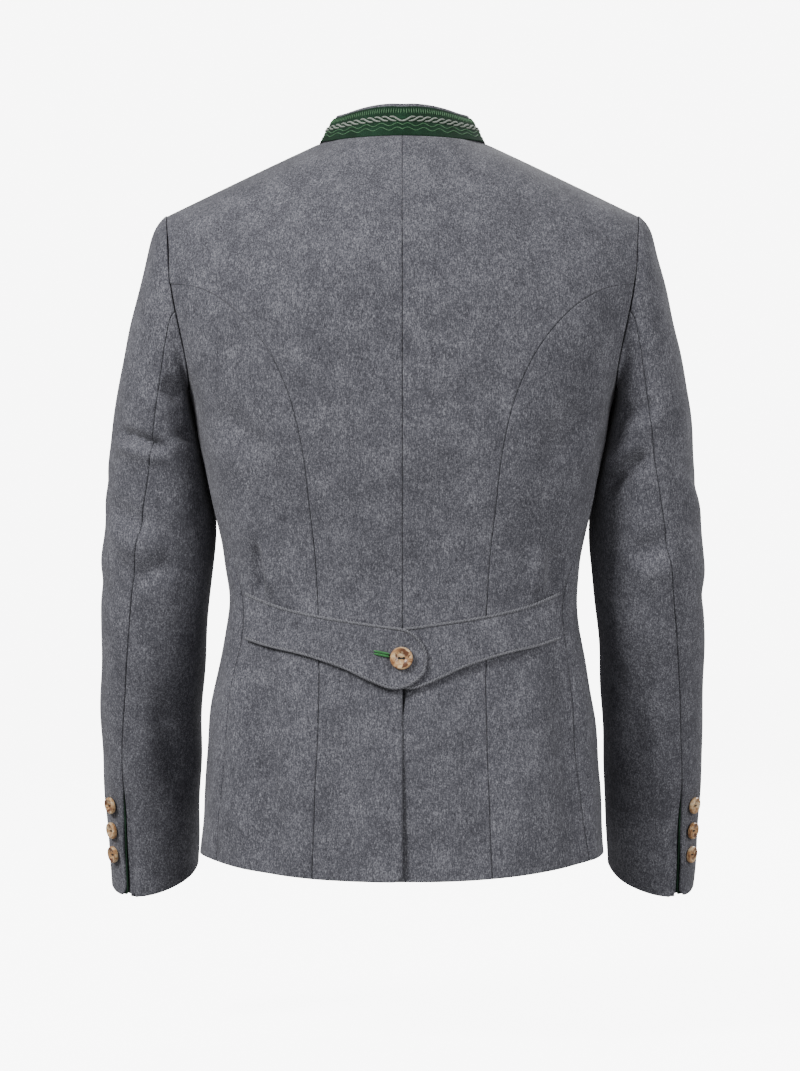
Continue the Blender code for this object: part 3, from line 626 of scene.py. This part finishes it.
def loden_look():
    """Milled wool loden: a felted nap of light and dark fibres, so it looks soft and clouded."""
    look, tree, shader = new_look("milled_wool_loden", 0.95, Sheen_Weight=0.12,
                                  Sheen_Roughness=0.55, Specular_IOR_Level=0.15)
    place = object_place(tree)
    cloud = noise(tree, place, 26 * MM, 4.0, Roughness=0.6)
    speckle = noise(tree, place, 1.5 * MM, 3.0, Roughness=0.75)
    tufts = noise(tree, place, 5 * MM, 2.0, Roughness=0.6)
    strands = []
    for turn in (math.radians(38), math.radians(-52)):
        laid = add_node(tree, "ShaderNodeMapping",
                        {"Rotation": (0.3, turn, 0.2), "Scale": (1.0, 0.6, 0.22)},
                        {"Vector": place})
        strands.append(noise(tree, laid.outputs["Vector"], 0.9 * MM, 2.0, Distortion=1.3))
    crossed = add_node(tree, "ShaderNodeMath", links={0: strands[0], 1: strands[1]},
                       operation="MAXIMUM")
    weave = add_node(tree, "ShaderNodeMath", {1: 0.55}, {0: crossed.outputs["Value"]},
                     operation="MULTIPLY")
    fibres = scaled_sum(tree, speckle, 0.5, weave.outputs["Value"])
    clouded = scaled_sum(tree, cloud, 0.16, fibres)
    heather = scaled_sum(tree, tufts, 0.10, clouded)
    colour = colour_steps(tree, heather,
                          ((0.50, "#313036"), (0.68, "#57575e"), (0.86, "#9c9ca3")))
    tree.links.new(colour, shader.inputs["Base Color"])
    raise_relief(tree, shader, heather, 0.55, 0.35 * MM)
    return look


def felt_look():
    """Pressed wool felt in bottle green: matt, with a close fuzz and slight clouding."""
    look, tree, shader = new_look("green_wool_felt", 0.95, Sheen_Weight=0.08,
                                  Sheen_Roughness=0.5, Specular_IOR_Level=0.15)
    place = object_place(tree)
    fuzz = noise(tree, place, 0.9 * MM, 3.0, Roughness=0.7)
    cloud = noise(tree, place, 18 * MM, 3.0)
    colour = colour_steps(tree, scaled_sum(tree, cloud, 0.4, fuzz),
                          ((0.45, "#0c1c13"), (0.70, "#152e1e"), (0.95, "#294b37")))
    tree.links.new(colour, shader.inputs["Base Color"])
    raise_relief(tree, shader, fuzz, 0.5, 0.25 * MM)
    return look


def yarn_look(name, dark, light, roughness=0.75):
    """Spun yarn: small light and dark flecks where its fibres turn over."""
    look, tree, shader = new_look(name, roughness, Sheen_Weight=0.2)
    fleck = noise(tree, object_place(tree), 0.7 * MM, 2.0)
    colour = colour_steps(tree, fleck, ((0.35, dark), (0.65, light)))
    tree.links.new(colour, shader.inputs["Base Color"])
    raise_relief(tree, shader, fleck, 0.4, 0.15 * MM)
    return look


def horn_look():
    """Sawn and polished stag horn: cream bone with tan marbling and brown bark left in patches."""
    look, tree, shader = new_look("polished_stag_horn", 0.32, IOR=1.54, Coat_Weight=0.25,
                                  Coat_Roughness=0.15)
    place = object_place(tree)
    marbling = noise(tree, place, 7 * MM, 5.0, Distortion=1.2)
    bark = noise(tree, place, 9 * MM, 4.0, Roughness=0.6, Distortion=0.8)
    radius = add_node(tree, "ShaderNodeAttribute", attribute_name="from_centre").outputs["Fac"]
    bone = colour_steps(tree, marbling, ((0.32, "#8f5f3b"), (0.46, "#c79a6b"), (0.60, "#e6c79c"),
                                         (0.72, "#f4e2c2")))
    patch = spread(tree, bark, 0.49, 0.56)
    off_centre = spread(tree, radius, 0.2, 0.45)
    off_rim = spread(tree, radius, 0.84, 0.9, 1.0, 0.0)
    left_bare = add_node(tree, "ShaderNodeMath", links={0: off_centre, 1: off_rim},
                         operation="MULTIPLY").outputs["Value"]
    marked = add_node(tree, "ShaderNodeMath", links={0: patch, 1: left_bare},
                      operation="MULTIPLY").outputs["Value"]
    mixed = add_node(tree, "ShaderNodeMix", {7: linear("#6b432b")}, {0: marked, 6: bone},
                     data_type="RGBA")
    tree.links.new(mixed.outputs[2], shader.inputs["Base Color"])
    raise_relief(tree, shader, bark, 0.25, 0.2 * MM)
    return look


FLOOR_GLOW = 7.6             # the paper glows, to stay pale under the soft lamps


def paper_look():
    """Matt paper lit from below: a pale, even ground with a slight tooth."""
    look, tree, shader = new_look("matt_paper_ground", 0.9, Specular_IOR_Level=0.1)
    tooth = noise(tree, object_place(tree), 25 * MM, 2.0)
    colour = colour_steps(tree, tooth, ((0.3, "#f2f2f2"), (0.7, "#f5f5f5")))
    tree.links.new(colour, shader.inputs["Base Color"])
    shader.inputs["Emission Color"].default_value = (1, 1, 1, 1)
    shader.inputs["Emission Strength"].default_value = FLOOR_GLOW
    return look


LODEN_LOOK = loden_look()
FELT_LOOK = felt_look()
ROPE_YARN = yarn_look("pale_grey_embroidery_yarn", "#6d756c", "#a3aba0")
WAVE_YARN = yarn_look("light_green_embroidery_yarn", "#2a5532", "#588a5e")
STITCH_YARN = yarn_look("green_edging_yarn", "#38603f", "#5f8b63")
CORD_YARN = yarn_look("twisted_grey_cord", "#46464c", "#8b8b92", 0.85)
HORN_LOOK = horn_look()
WELT_YARN = yarn_look("green_welt_twill", "#1f5a2a", "#3f8848")
DARK_THREAD = yarn_look("dark_button_thread", "#17130f", "#2c251f")


# ------------------------------------------------------------------ the panels

# Each panel's cut in metres and square metres: width, length and the area that its cloth fills.
# A seam that turns a corner keeps it at one row or column of the grid.
Cut = namedtuple("Cut", "width length area")
Panel = namedtuple("Panel", "kind seams hems cut corner_row corner_column")
PANELS = (
    Panel("back", ("top", "start", "end"), ("bottom",), Cut(0.24, 0.72, 0.096), 3, 3),
    Panel("side_back", ("top", "start", "end"), ("bottom",), Cut(0.15, 0.60, 0.062), None, None),
    Panel("front", ("top", "end"), ("bottom", "start"), Cut(0.33, 0.74, 0.205), 6, 5),
    Panel("top_sleeve", ("top", "start", "end"), ("bottom",), Cut(0.25, 0.66, 0.125), None, None),
    Panel("under_sleeve", ("top", "start", "end"), ("bottom",), Cut(0.17, 0.58, 0.078), None, None),
)
VENT_TOP, HEM_HEIGHT = -0.535, -0.69     # between them the back vent opens
VENT_FLARE, VENT_WIDTH, VENT_CORNER = 3.0 * MM, 45 * MM, 9.0 * MM
CUFF_VENT_TOP, CUFF_VENT_OPEN = -0.624, -0.658     # between them the cuff vent opens
CUFF_OPENING, CUFF_SINK, CUFF_STRIP = 3.0 * MM, 2.2 * MM, 22 * MM
FLAP_CORNER, UNDER_CORNER = 10.0 * MM, 7.0 * MM
FOLDS_START = 30 * MM        # the folds grow from the upper seam down to here


def shape_vent(points, normals, distances):
    """The vent's upper side stands off the underlap and its corner is rounded."""
    near = ramp(VENT_WIDTH - distances["start"], 0, VENT_WIDTH)
    below = ramp(-points[..., 2], -VENT_TOP, -HEM_HEIGHT)
    points = points + normals * (VENT_FLARE * (near * below))[..., None]
    return round_lower_corner(points, distances, "start", VENT_CORNER)


def shape_cuff(name, points, normals, distances):
    """Opens the cuff's vent and rounds the corners beside it."""
    if name.startswith("top"):
        return round_lower_corner(points, distances, "end", FLAP_CORNER)
    points = round_lower_corner(points, distances, "end", UNDER_CORNER)
    below = ramp(-points[..., 2], -CUFF_VENT_TOP, -CUFF_VENT_OPEN)
    near = ramp(CUFF_STRIP - distances["end"], 0, CUFF_STRIP)
    inward = points[:, :-1] - points[:, 1:]
    inward = np.concatenate([inward, inward[:, -1:]], axis=1)
    inward /= np.maximum(np.linalg.norm(inward, axis=2, keepdims=True), TINY)
    points = points + inward * (CUFF_OPENING * near * below)[..., None]
    return points - normals * (CUFF_SINK * near ** 3 * below)[..., None]


def cloth_panel(panel, side):
    """One loden panel of the body or a sleeve."""
    name = f"{panel.kind}_{side}"
    wall = WALLS[panel.kind]
    axis = (wall.axis[0] * side_of(name), wall.axis[1])
    surface = Surface(wall_grid(name, panel.kind), panel.corner_row, panel.corner_column)
    surface.face_away_from(axis)
    reach = {edge: SEAM_REACH if edge in panel.seams else 0.0
             for edge in ("top", "bottom", "start", "end")}
    points = surface.lattice(
        fine_steps(surface.height, CLOTH_STEP, reach["top"], reach["bottom"]),
        fine_steps(surface.width, CLOTH_STEP, reach["start"], reach["end"]))
    normals = lattice_normals(points, surface.handedness)
    distances = edge_distances(points)
    radii = {edge: SEAM_ROLL for edge in panel.seams} | {edge: HEM_ROLL for edge in panel.hems}
    if "sleeve" in name:
        radii["top"] = ARMHOLE_ROLL
    clear_of_seam = ramp(distances["top"], 0, FOLDS_START)
    heights = (fold_heights(name, points, normals) + unevenness(points)) * clear_of_seam
    points = points + normals * (heights - rolled_edges(points, radii))[..., None]
    if name == "back_left":
        points = shape_vent(points, normals, distances)
    if "sleeve" in name:
        points = shape_cuff(name, points, normals, distances)
    return sheet_of(f"{name}_cloth", points, normals, LODEN), surface


def make_panels():
    """All ten loden panels."""
    made, surfaces = {}, {}
    for panel in PANELS:
        for side in ("left", "right"):
            name = f"{panel.kind}_{side}"
            piece, surfaces[name] = cloth_panel(panel, side)
            made[name] = finish_piece(piece, "loden", LODEN_LOOK, name)
    return surfaces


# ------------------------------------------------------------------ tubes and trims

def tube(points, radius, sides, taper=False):
    """Vertices and faces of a closed tube along a line of points, with thin ends if it tapers."""
    points = np.asarray(points)
    along = np.gradient(points, axis=0)
    along /= np.linalg.norm(along, axis=1, keepdims=True)
    guide = np.array((0.0, 0.0, 1.0)) if abs(along[0, 2]) < 0.9 else np.array((1.0, 0.0, 0.0))
    beside = np.cross(along, guide)
    for i in range(1, len(points)):
        previous = beside[i - 1] - along[i] * np.dot(beside[i - 1], along[i])
        beside[i] = previous / np.linalg.norm(previous)
    beside[0] /= np.linalg.norm(beside[0])
    upward = np.cross(beside, along)
    turns = np.arange(sides) * 2 * math.pi / sides
    size = np.full(len(points), float(radius))
    if taper:
        share = np.linspace(-1, 1, len(points))
        size *= np.sqrt(np.clip(1.06 - share ** 4, 0.05, 1))
    rings = (points[:, None] + size[:, None, None]
             * (np.cos(turns)[None, :, None] * beside[:, None]
                + np.sin(turns)[None, :, None] * upward[:, None]))
    vertices = rings.reshape(-1, 3)
    faces = []
    for i in range(len(points) - 1):
        for j in range(sides):
            k = (j + 1) % sides
            faces.append((i * sides + j, i * sides + k, (i + 1) * sides + k, (i + 1) * sides + j))
    faces.append(tuple(range(sides))[::-1])
    faces.append(tuple(range((len(points) - 1) * sides, len(points) * sides)))
    return vertices, faces


def joined_mesh(name, parts):
    """One object from many tubes."""
    vertices, faces, offset = [], [], 0
    for part_vertices, part_faces in parts:
        vertices.append(part_vertices)
        faces.extend(tuple(index + offset for index in face) for face in part_faces)
        offset += len(part_vertices)
    mesh = bpy.data.meshes.new(name)
    mesh.from_pydata(np.vstack(vertices).tolist(), [], faces)
    piece = add_object(name, mesh)
    turn_faces_outwards(piece)
    bpy.ops.object.shade_smooth_by_angle(angle=math.radians(60))
    return piece


# ------------------------------------------------------------------ the collar

ROPE_PITCH, ROPE_HEIGHT, ROPE_LINE = 8.0 * MM, 5.0 * MM, 15.2 * MM
ROPE_REACH, ROPE_CURL = 7.4 * MM, 2.6   # half a link's length, and how flat its ends lie
ROPE_START, ROPE_RADIUS = 5.4 * MM, 0.95 * MM
STITCH_PITCH, STITCH_TOP, STITCH_FOOT = 2.45 * MM, 2.6 * MM, 8.6 * MM
STITCH_SLANT, STITCH_RADIUS = 0.5 * MM, 0.42 * MM
WAVE_PERIOD, WAVE_HEIGHT, WAVE_RADIUS = 16.2 * MM, 1.7 * MM, 0.36 * MM
WAVE_LINES = (21.6 * MM, 26.6 * MM)
WAVE_START = 0.3             # of a period, from centre back to the first crest
FRONT_MARGIN = 4 * MM        # the stitching stops this far from the collar's ends
FOOT_REACH = 2.2 * MM        # the felt reaches down to the neck seam, most at centre back
FOOT_FADE = (1.4, 0.1, 0.5)  # its fade to the sides: height, slope length and least share
COLLAR_ROLL = 0.6 * MM


def collar_surface(name):
    """The smooth outer face of a collar band."""
    grid = wall_grid(name, name)
    foot = grid[-1] - grid[-2]
    foot /= np.linalg.norm(foot, axis=1, keepdims=True)
    height, length, least = FOOT_FADE
    grid[-1] += foot * FOOT_REACH * np.clip(height - np.abs(grid[-1][:, :1]) / length, least, 1)
    surface = Surface(grid)
    return surface.face_away_from(WALLS[name].axis)


def band(surface, thickness, name):
    """A collar band as a cloth shell with rolled edges."""
    points = surface.lattice(fine_steps(surface.height, TRIM_STEP),
                             fine_steps(surface.width, TRIM_STEP))
    normals = lattice_normals(points, surface.handedness)
    drop = rolled_edges(points, dict.fromkeys(("top", "bottom", "start", "end"), COLLAR_ROLL))
    return sheet_of(name, points - normals * drop[..., None], normals, thickness)


def embroidery(surface):
    """The collar's three bands of stitching, counted out from centre back both ways."""
    middle = surface.width / 2
    reach = middle - FRONT_MARGIN
    stitches, links, waves = [], [], []
    for side in (-1, 1):
        for number in range(int(reach / STITCH_PITCH)):
            uneven = 0.3 * MM * math.sin(number * 2.3)
            down = np.linspace(STITCH_TOP, STITCH_FOOT + uneven, 4)
            across = middle + side * ((number + 0.5) * STITCH_PITCH
                                      + np.linspace(0, STITCH_SLANT, 4))
            path, _ = surface.spots(down, across, 0.15 * MM)
            stitches.append(tube(path, STITCH_RADIUS, 5, taper=True))
        for number in range(int(reach / ROPE_PITCH)):
            share = np.linspace(-1, 1, 13)
            across = middle + side * (number * ROPE_PITCH + ROPE_START + share * ROPE_REACH)
            down = ROPE_LINE - np.tanh(ROPE_CURL * share) * ROPE_HEIGHT / 2
            out = 0.1 * MM + 0.5 * MM * np.cos(share * math.pi / 2)     # links pass over each other
            path, _ = surface.spots(down, across, out)
            links.append(tube(path, ROPE_RADIUS, 6, taper=True))
        along = np.arange(0, reach, 1.2 * MM)
        for line in WAVE_LINES:
            swing = np.cos((along / WAVE_PERIOD - WAVE_START) * 2 * math.pi)
            path, _ = surface.spots(line - WAVE_HEIGHT * swing, middle + side * along, 0.1 * MM)
            waves.append(tube(path, WAVE_RADIUS, 5))
    return (joined_mesh("collar_edge_stitches", stitches), joined_mesh("collar_rope_motif", links),
            joined_mesh("collar_wave_motif", waves))


def make_collar():
    """The loden band with the embroidered green felt laid on it."""
    inner = band(collar_surface("collar_inner"), LODEN, "collar_inner_cloth")
    finish_piece(inner, "loden", LODEN_LOOK, "collar_inner")
    outer_face = collar_surface("collar_felt")
    felt = band(outer_face, FELT, "collar_felt_band")
    finish_piece(felt, "felt", FELT_LOOK, "collar_felt")
    stitches, rope, waves = embroidery(outer_face)
    finish_piece(stitches, "felt", STITCH_YARN)
    finish_piece(rope, "cord", ROPE_YARN)
    finish_piece(waves, "felt", WAVE_YARN)


# ------------------------------------------------------------------ the half-belt

CORD_TWIST = 6.4 * MM        # one full turn of the two plies
PLY_RADIUS, PLY_OFFSET = 0.86 * MM, 0.80 * MM
CORD_BESIDE, CORD_BELOW = 1.0 * MM, 0.3 * MM     # from the belt's outer edge
CORD_STEP = 0.55 * MM
CORD_EASE = 7                # steps to each side over which the cord's path is eased
EDGE_ROWS = 6                # rows of points from the belt's edge that show which way is inwards
BELT_ROLL = 0.9 * MM
WELT_RADIUS, WELT_SPREAD, WELT_SLOPE = 1.15 * MM, 1.25 * MM, 0.20
WELT_RAISED = 1.0 * MM       # of its outer end, as the welt falls towards the button


def belt_edge_path(points, normals):
    """The line on which the cord is sewn: along the top, round the tip and back below.

    Its corners are eased by a short moving average. Also returned is the way along it.
    """
    inwards_top = points[EDGE_ROWS] - points[0]
    inwards_tip = points[:, -1 - EDGE_ROWS] - points[:, -1]
    inwards_bottom = points[-1 - EDGE_ROWS] - points[-1]
    edge = np.vstack([points[0], points[1:-1, -1], points[-1, ::-1]])
    inwards = np.vstack([inwards_top, inwards_tip[1:-1], inwards_bottom[::-1]])
    facing = np.vstack([normals[0], normals[1:-1, -1], normals[-1, ::-1]])
    inwards /= np.linalg.norm(inwards, axis=1, keepdims=True)
    path = edge - inwards * CORD_BESIDE - facing * CORD_BELOW
    lengths = np.r_[0, np.cumsum(np.linalg.norm(np.diff(path, axis=0), axis=1))]
    where = np.arange(0, lengths[-1], CORD_STEP)
    even = np.column_stack([np.interp(where, lengths, column) for column in path.T])
    kernel = np.hanning(2 * CORD_EASE + 1)
    kernel /= kernel.sum()
    smooth = np.column_stack([np.convolve(np.pad(column, CORD_EASE, mode="edge"), kernel, "valid")
                              for column in even.T])
    return smooth, where


def twisted_cord(name, path, where, side):
    """A two-ply cord wound along a line."""
    along = np.gradient(path, axis=0)
    along /= np.linalg.norm(along, axis=1, keepdims=True)
    out = np.column_stack([path[:, 0] * 0.5, path[:, 1], np.zeros(len(path))])
    out -= along * np.sum(out * along, axis=1, keepdims=True)
    out /= np.linalg.norm(out, axis=1, keepdims=True)
    beside = np.cross(along, out)
    plies = []
    for start in (0, math.pi):
        turn = (where / CORD_TWIST * 2 * math.pi * side + start)[:, None]
        line = path + PLY_OFFSET * (np.cos(turn) * out + np.sin(turn) * beside)
        plies.append(tube(line, PLY_RADIUS, 6))
    return joined_mesh(name, plies)


def make_half_belt(side):
    """One end of the half-belt with its cord edging."""
    name = f"half_belt_{side}"
    surface = Surface(wall_grid(name, "half_belt")).face_away_from(BODY_AXIS)
    points = surface.lattice(fine_steps(surface.height, TRIM_STEP),
                             fine_steps(surface.width, TRIM_STEP))
    normals = lattice_normals(points, surface.handedness)
    drop = rolled_edges(points, dict.fromkeys(("top", "bottom", "end"), BELT_ROLL))
    cloth = sheet_of(f"{name}_cloth", points - normals * drop[..., None], normals, LODEN)
    finish_piece(cloth, "loden", LODEN_LOOK, name)
    path, where = belt_edge_path(points, normals)
    cord = twisted_cord(f"{name}_cord", path, where, side_of(name))
    finish_piece(cord, "cord", CORD_YARN, f"belt_cord_{side}")
    return cloth, cord


def make_buttonhole():
    """A welted buttonhole: two green lips with a dark slit between them."""
    low, high = (Vector(corner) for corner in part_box("belt_buttonhole"))
    across = np.linspace(high.x, low.x, 12)
    depths = np.interp(across, (low.x, high.x), (high.y, low.y)) + 0.1 * MM
    fall = WELT_RAISED - (high.x - across) * WELT_SLOPE
    lips = []
    for above in (1, -1):
        heights = (low.z + high.z) / 2 + fall + above * WELT_SPREAD
        lips.append(tube(np.column_stack([across, depths, heights]), WELT_RADIUS, 8, taper=True))
    piece = joined_mesh("belt_buttonhole_welt", lips)
    return finish_piece(piece, "felt", WELT_YARN, "belt_buttonhole")


# ------------------------------------------------------------------ buttons

# A button's half section and holes, in shares of its radius; heights are shares of its half
# thickness. The face is dished round the holes and its rim is rounded.
PROFILE = ((0.0, 0.10), (0.28, 0.10), (0.42, 0.30), (0.62, 0.52), (0.80, 0.62), (0.93, 0.50),
           (0.99, 0.20), (1.0, -0.10), (0.96, -0.45), (0.80, -0.60), (0.0, -0.60))
PROFILE_HEIGHT = 1.6
HOLE_SPACING, HOLE_RADIUS = 0.2, 0.12
THREAD_RADIUS, THREAD_APART = 0.38 * MM, 0.35 * MM
THREAD_TOP, THREAD_FALL = 0.35, 0.9     # of the half thickness: its height, and its dip into a hole
WRIST_FORWARD = -0.06        # the arm's axis at the cuff buttons


def button_seat(name):
    """Where a button's solid sits: its centre, facing, radius and half thickness."""
    spots = np.array([tuple(vertex.co) for vertex in frame["nodes"][name].data.vertices])
    centre = (spots.max(axis=0) + spots.min(axis=0)) / 2
    _, axes = np.linalg.eigh(np.cov(np.unique(spots.round(6), axis=0).T))
    facing = axes[:, 0]
    if np.dot(facing, centre - np.array((*facing_axis(name), centre[2]))) < 0:
        facing = -facing
    radius = np.linalg.norm(spots - centre, axis=1).max()
    return centre, facing, radius, np.abs((spots - centre) @ facing).max()


def turned_horn(name, radius, half):
    """A disc turned from the half section, with its two holes drilled through."""
    mesh = bpy.data.meshes.new(name)
    mesh.from_pydata([(x * radius, 0, z * half * PROFILE_HEIGHT) for x, z in PROFILE],
                     [(i, i + 1) for i in range(len(PROFILE) - 1)], [])
    button = add_object(name, mesh)
    turning = button.modifiers.new("Turning", "SCREW")
    turning.steps = turning.render_steps = 40
    turning.use_merge_vertices = True
    turning.merge_threshold = 0.01 * MM
    apply_modifiers(button)
    turn_faces_outwards(button)
    for sign in (1, -1):
        bpy.ops.object.select_all(action="DESELECT")
        bpy.ops.mesh.primitive_cylinder_add(vertices=16, radius=HOLE_RADIUS * radius,
                                            depth=8 * half,
                                            location=(sign * HOLE_SPACING * radius, 0, 0))
        drill = bpy.context.object
        hole = button.modifiers.new("Hole", "BOOLEAN")
        hole.object = drill
        hole.operation = "DIFFERENCE"
        apply_modifiers(button)
        bpy.data.objects.remove(drill)
    reach = button.data.attributes.new("from_centre", "FLOAT", "POINT")
    reach.data.foreach_set("value",
                           [vertex.co.xy.length / radius for vertex in button.data.vertices])
    return button


def horn_button(name):
    """A turned two-hole button on its solid's place, with its thread."""
    centre, facing, radius, half = button_seat(name)
    button = turned_horn(f"{name}_horn", radius, half)
    share = np.linspace(-1, 1, 9)
    bow = np.column_stack([share * HOLE_SPACING * radius, np.zeros(9),
                           half * (THREAD_TOP - THREAD_FALL * np.abs(share) ** 6)])
    strands = [tube(bow + (0, shift, 0), THREAD_RADIUS, 6) for shift in (-THREAD_APART, THREAD_APART)]
    thread = joined_mesh(f"{name}_thread", strands)
    turn = Vector(facing).to_track_quat("Z", "Y").to_matrix().to_4x4()
    turn.translation = Vector(centre)
    for obj in (button, thread):
        obj.data.transform(turn)
        only_select(obj)
        bpy.ops.object.shade_smooth_by_angle(angle=math.radians(35))
    finish_piece(button, "horn", HORN_LOOK, name)
    finish_piece(thread, "cord", DARK_THREAD)
    return button, thread


def facing_axis(name):
    """The upright axis that a button faces away from."""
    if name.startswith("cuff"):
        side = -1 if "right" in name else 1
        return ARM_AXIS[0] * side, WRIST_FORWARD
    return BODY_AXIS


def make_buttons():
    """Horn buttons on the half-belt, the cuffs and the front."""
    names = ["belt_button"]
    names += [f"cuff_button_{side}_{number}" for side in ("left", "right") for number in (1, 2, 3)]
    names += [f"front_button_{number}" for number in range(1, 6)]
    return {name: horn_button(name) for name in names}


# ------------------------------------------------------------------ the cuff vents

VENT_LENGTH, VENT_FOOT, VENT_ROWS = 103 * MM, 1.5 * MM, 48
FACING_WIDTH, FACING_SHOWS, FACING_TAPER = 12.0 * MM, 3.2 * MM, 30 * MM
FACING_DEPTH = LODEN + 0.25 * MM
UNDERLAP_OVER, UNDERLAP_WIDTH, UNDERLAP_DEPTH = 9.0 * MM, 7.0 * MM, 4.6 * MM


def vent_strip(name, sleeve, first, last, depth, thickness):
    """A strip of cloth beside the cuff's vent, from the sleeve's own surface moved in."""
    down = sleeve.height - np.linspace(VENT_LENGTH, VENT_FOOT, VENT_ROWS)
    share = np.linspace(0, 1, 12)
    across = first + share[None, :] * (last - first)[:, None]
    points, normals = sleeve.spots(np.repeat(down, len(share)), across.ravel(), -depth)
    shape = (*across.shape, 3)
    return sheet_of(name, points.reshape(shape), normals.reshape(shape), thickness)


def make_cuff_vent(side, top_sleeve, under_sleeve):
    """The felt strip under the flap's edge, and the under sleeve's underlap behind it."""
    above_hem = np.linspace(VENT_LENGTH, VENT_FOOT, VENT_ROWS)
    cut_away = rolled(above_hem, FLAP_CORNER)
    shows = FACING_SHOWS * ramp(VENT_LENGTH - above_hem, 0, FACING_TAPER)
    facing = vent_strip(f"cuff_facing_{side}_felt", top_sleeve, top_sleeve.width - FACING_WIDTH,
                        top_sleeve.width + shows - cut_away, FACING_DEPTH, FELT)
    finish_piece(facing, "felt", FELT_LOOK, f"cuff_facing_{side}")
    underlap = vent_strip(f"cuff_underlap_{side}", under_sleeve,
                          under_sleeve.width - UNDERLAP_OVER,
                          np.full(VENT_ROWS, under_sleeve.width + UNDERLAP_WIDTH),
                          UNDERLAP_DEPTH, LODEN)
    finish_piece(underlap, "loden", LODEN_LOOK)


# ------------------------------------------------------------------ floor, light and camera

FLOOR_HEIGHT, FLOOR_WIDTH, FLOOR_LENGTH = -0.86, 16.0, 18.0
CAMERA_PLACE = (0.0024, 3.5, -0.375)
LENS, SENSOR = 121.4, 36.0
ROOM_LIGHT, BACKDROP_LIGHT = 0.34, 8.0    # the pale room as the cloth and as the camera meets it
Lamp = namedtuple("Lamp", "name place aim size power")
LAMPS = (
    Lamp("key_lamp", (2.1, 1.8, 1.5), (0, 0, -0.3), 1.0, 112),
    Lamp("fill_lamp", (-2.4, 2.2, 0.6), (0, 0, -0.4), 1.6, 52),
    Lamp("front_lamp", (-1.3, -2.6, 1.4), (0, 0, -0.3), 1.8, 62),
)


def make_floor():
    """A wide pale floor below the hanging jacket."""
    bpy.ops.object.select_all(action="DESELECT")
    bpy.ops.mesh.primitive_plane_add(size=1)
    floor = name_piece(bpy.context.object, "paper_floor")
    for vertex in floor.data.vertices:
        vertex.co = (vertex.co.x * FLOOR_WIDTH, vertex.co.y * FLOOR_LENGTH, FLOOR_HEIGHT)
    floor.data.materials.append(paper_look())
    floor.visible_diffuse = floor.visible_glossy = False


def make_room():
    """Even light from all round, and a paler backdrop for the camera."""
    world = bpy.data.worlds.new("pale_room")
    world.use_nodes = True
    tree = world.node_tree
    room = tree.nodes["Background"]
    room.inputs["Color"].default_value = (1, 1, 1, 1)
    room.inputs["Strength"].default_value = ROOM_LIGHT
    backdrop = add_node(tree, "ShaderNodeBackground",
                        {"Color": (1, 1, 1, 1), "Strength": BACKDROP_LIGHT})
    seen = add_node(tree, "ShaderNodeLightPath").outputs["Is Camera Ray"]
    both = add_node(tree, "ShaderNodeMixShader", links={
        0: seen, 1: room.outputs["Background"], 2: backdrop.outputs["Background"]})
    tree.links.new(both.outputs["Shader"], tree.nodes["World Output"].inputs["Surface"])
    bpy.context.scene.world = world


def area_light(lamp):
    """A soft studio lamp pointed at a place."""
    light = bpy.data.lights.new(lamp.name, "AREA")
    light.energy = lamp.power
    light.size = lamp.size
    made = add_object(lamp.name, light)
    made.location = lamp.place
    run = Vector(lamp.aim) - Vector(lamp.place)
    made.rotation_euler = run.to_track_quat("-Z", "Y").to_euler()


def make_camera():
    """A level camera behind the jacket."""
    view = bpy.data.cameras.new("back_view_camera")
    view.lens = LENS
    view.sensor_fit = "VERTICAL"
    view.sensor_height = SENSOR
    camera = add_object("back_view_camera", view)
    camera.location = CAMERA_PLACE
    camera.rotation_euler = (math.pi / 2, 0, math.pi)
    bpy.context.scene.camera = camera


# ------------------------------------------------------------------ the jacket

make_floor()
make_room()
for lamp in LAMPS:
    area_light(lamp)
make_camera()
surfaces = make_panels()
make_collar()
buttonhole = make_buttonhole()
buttons = make_buttons()
for side in ("left", "right"):
    belt_cloth, belt_cord = make_half_belt(side)
    on_belt = [belt_cord]
    if side == "left":
        on_belt += [buttonhole, *buttons["belt_button"]]
    make_cuff_vent(side, surfaces[f"top_sleeve_{side}"], surfaces[f"under_sleeve_{side}"])
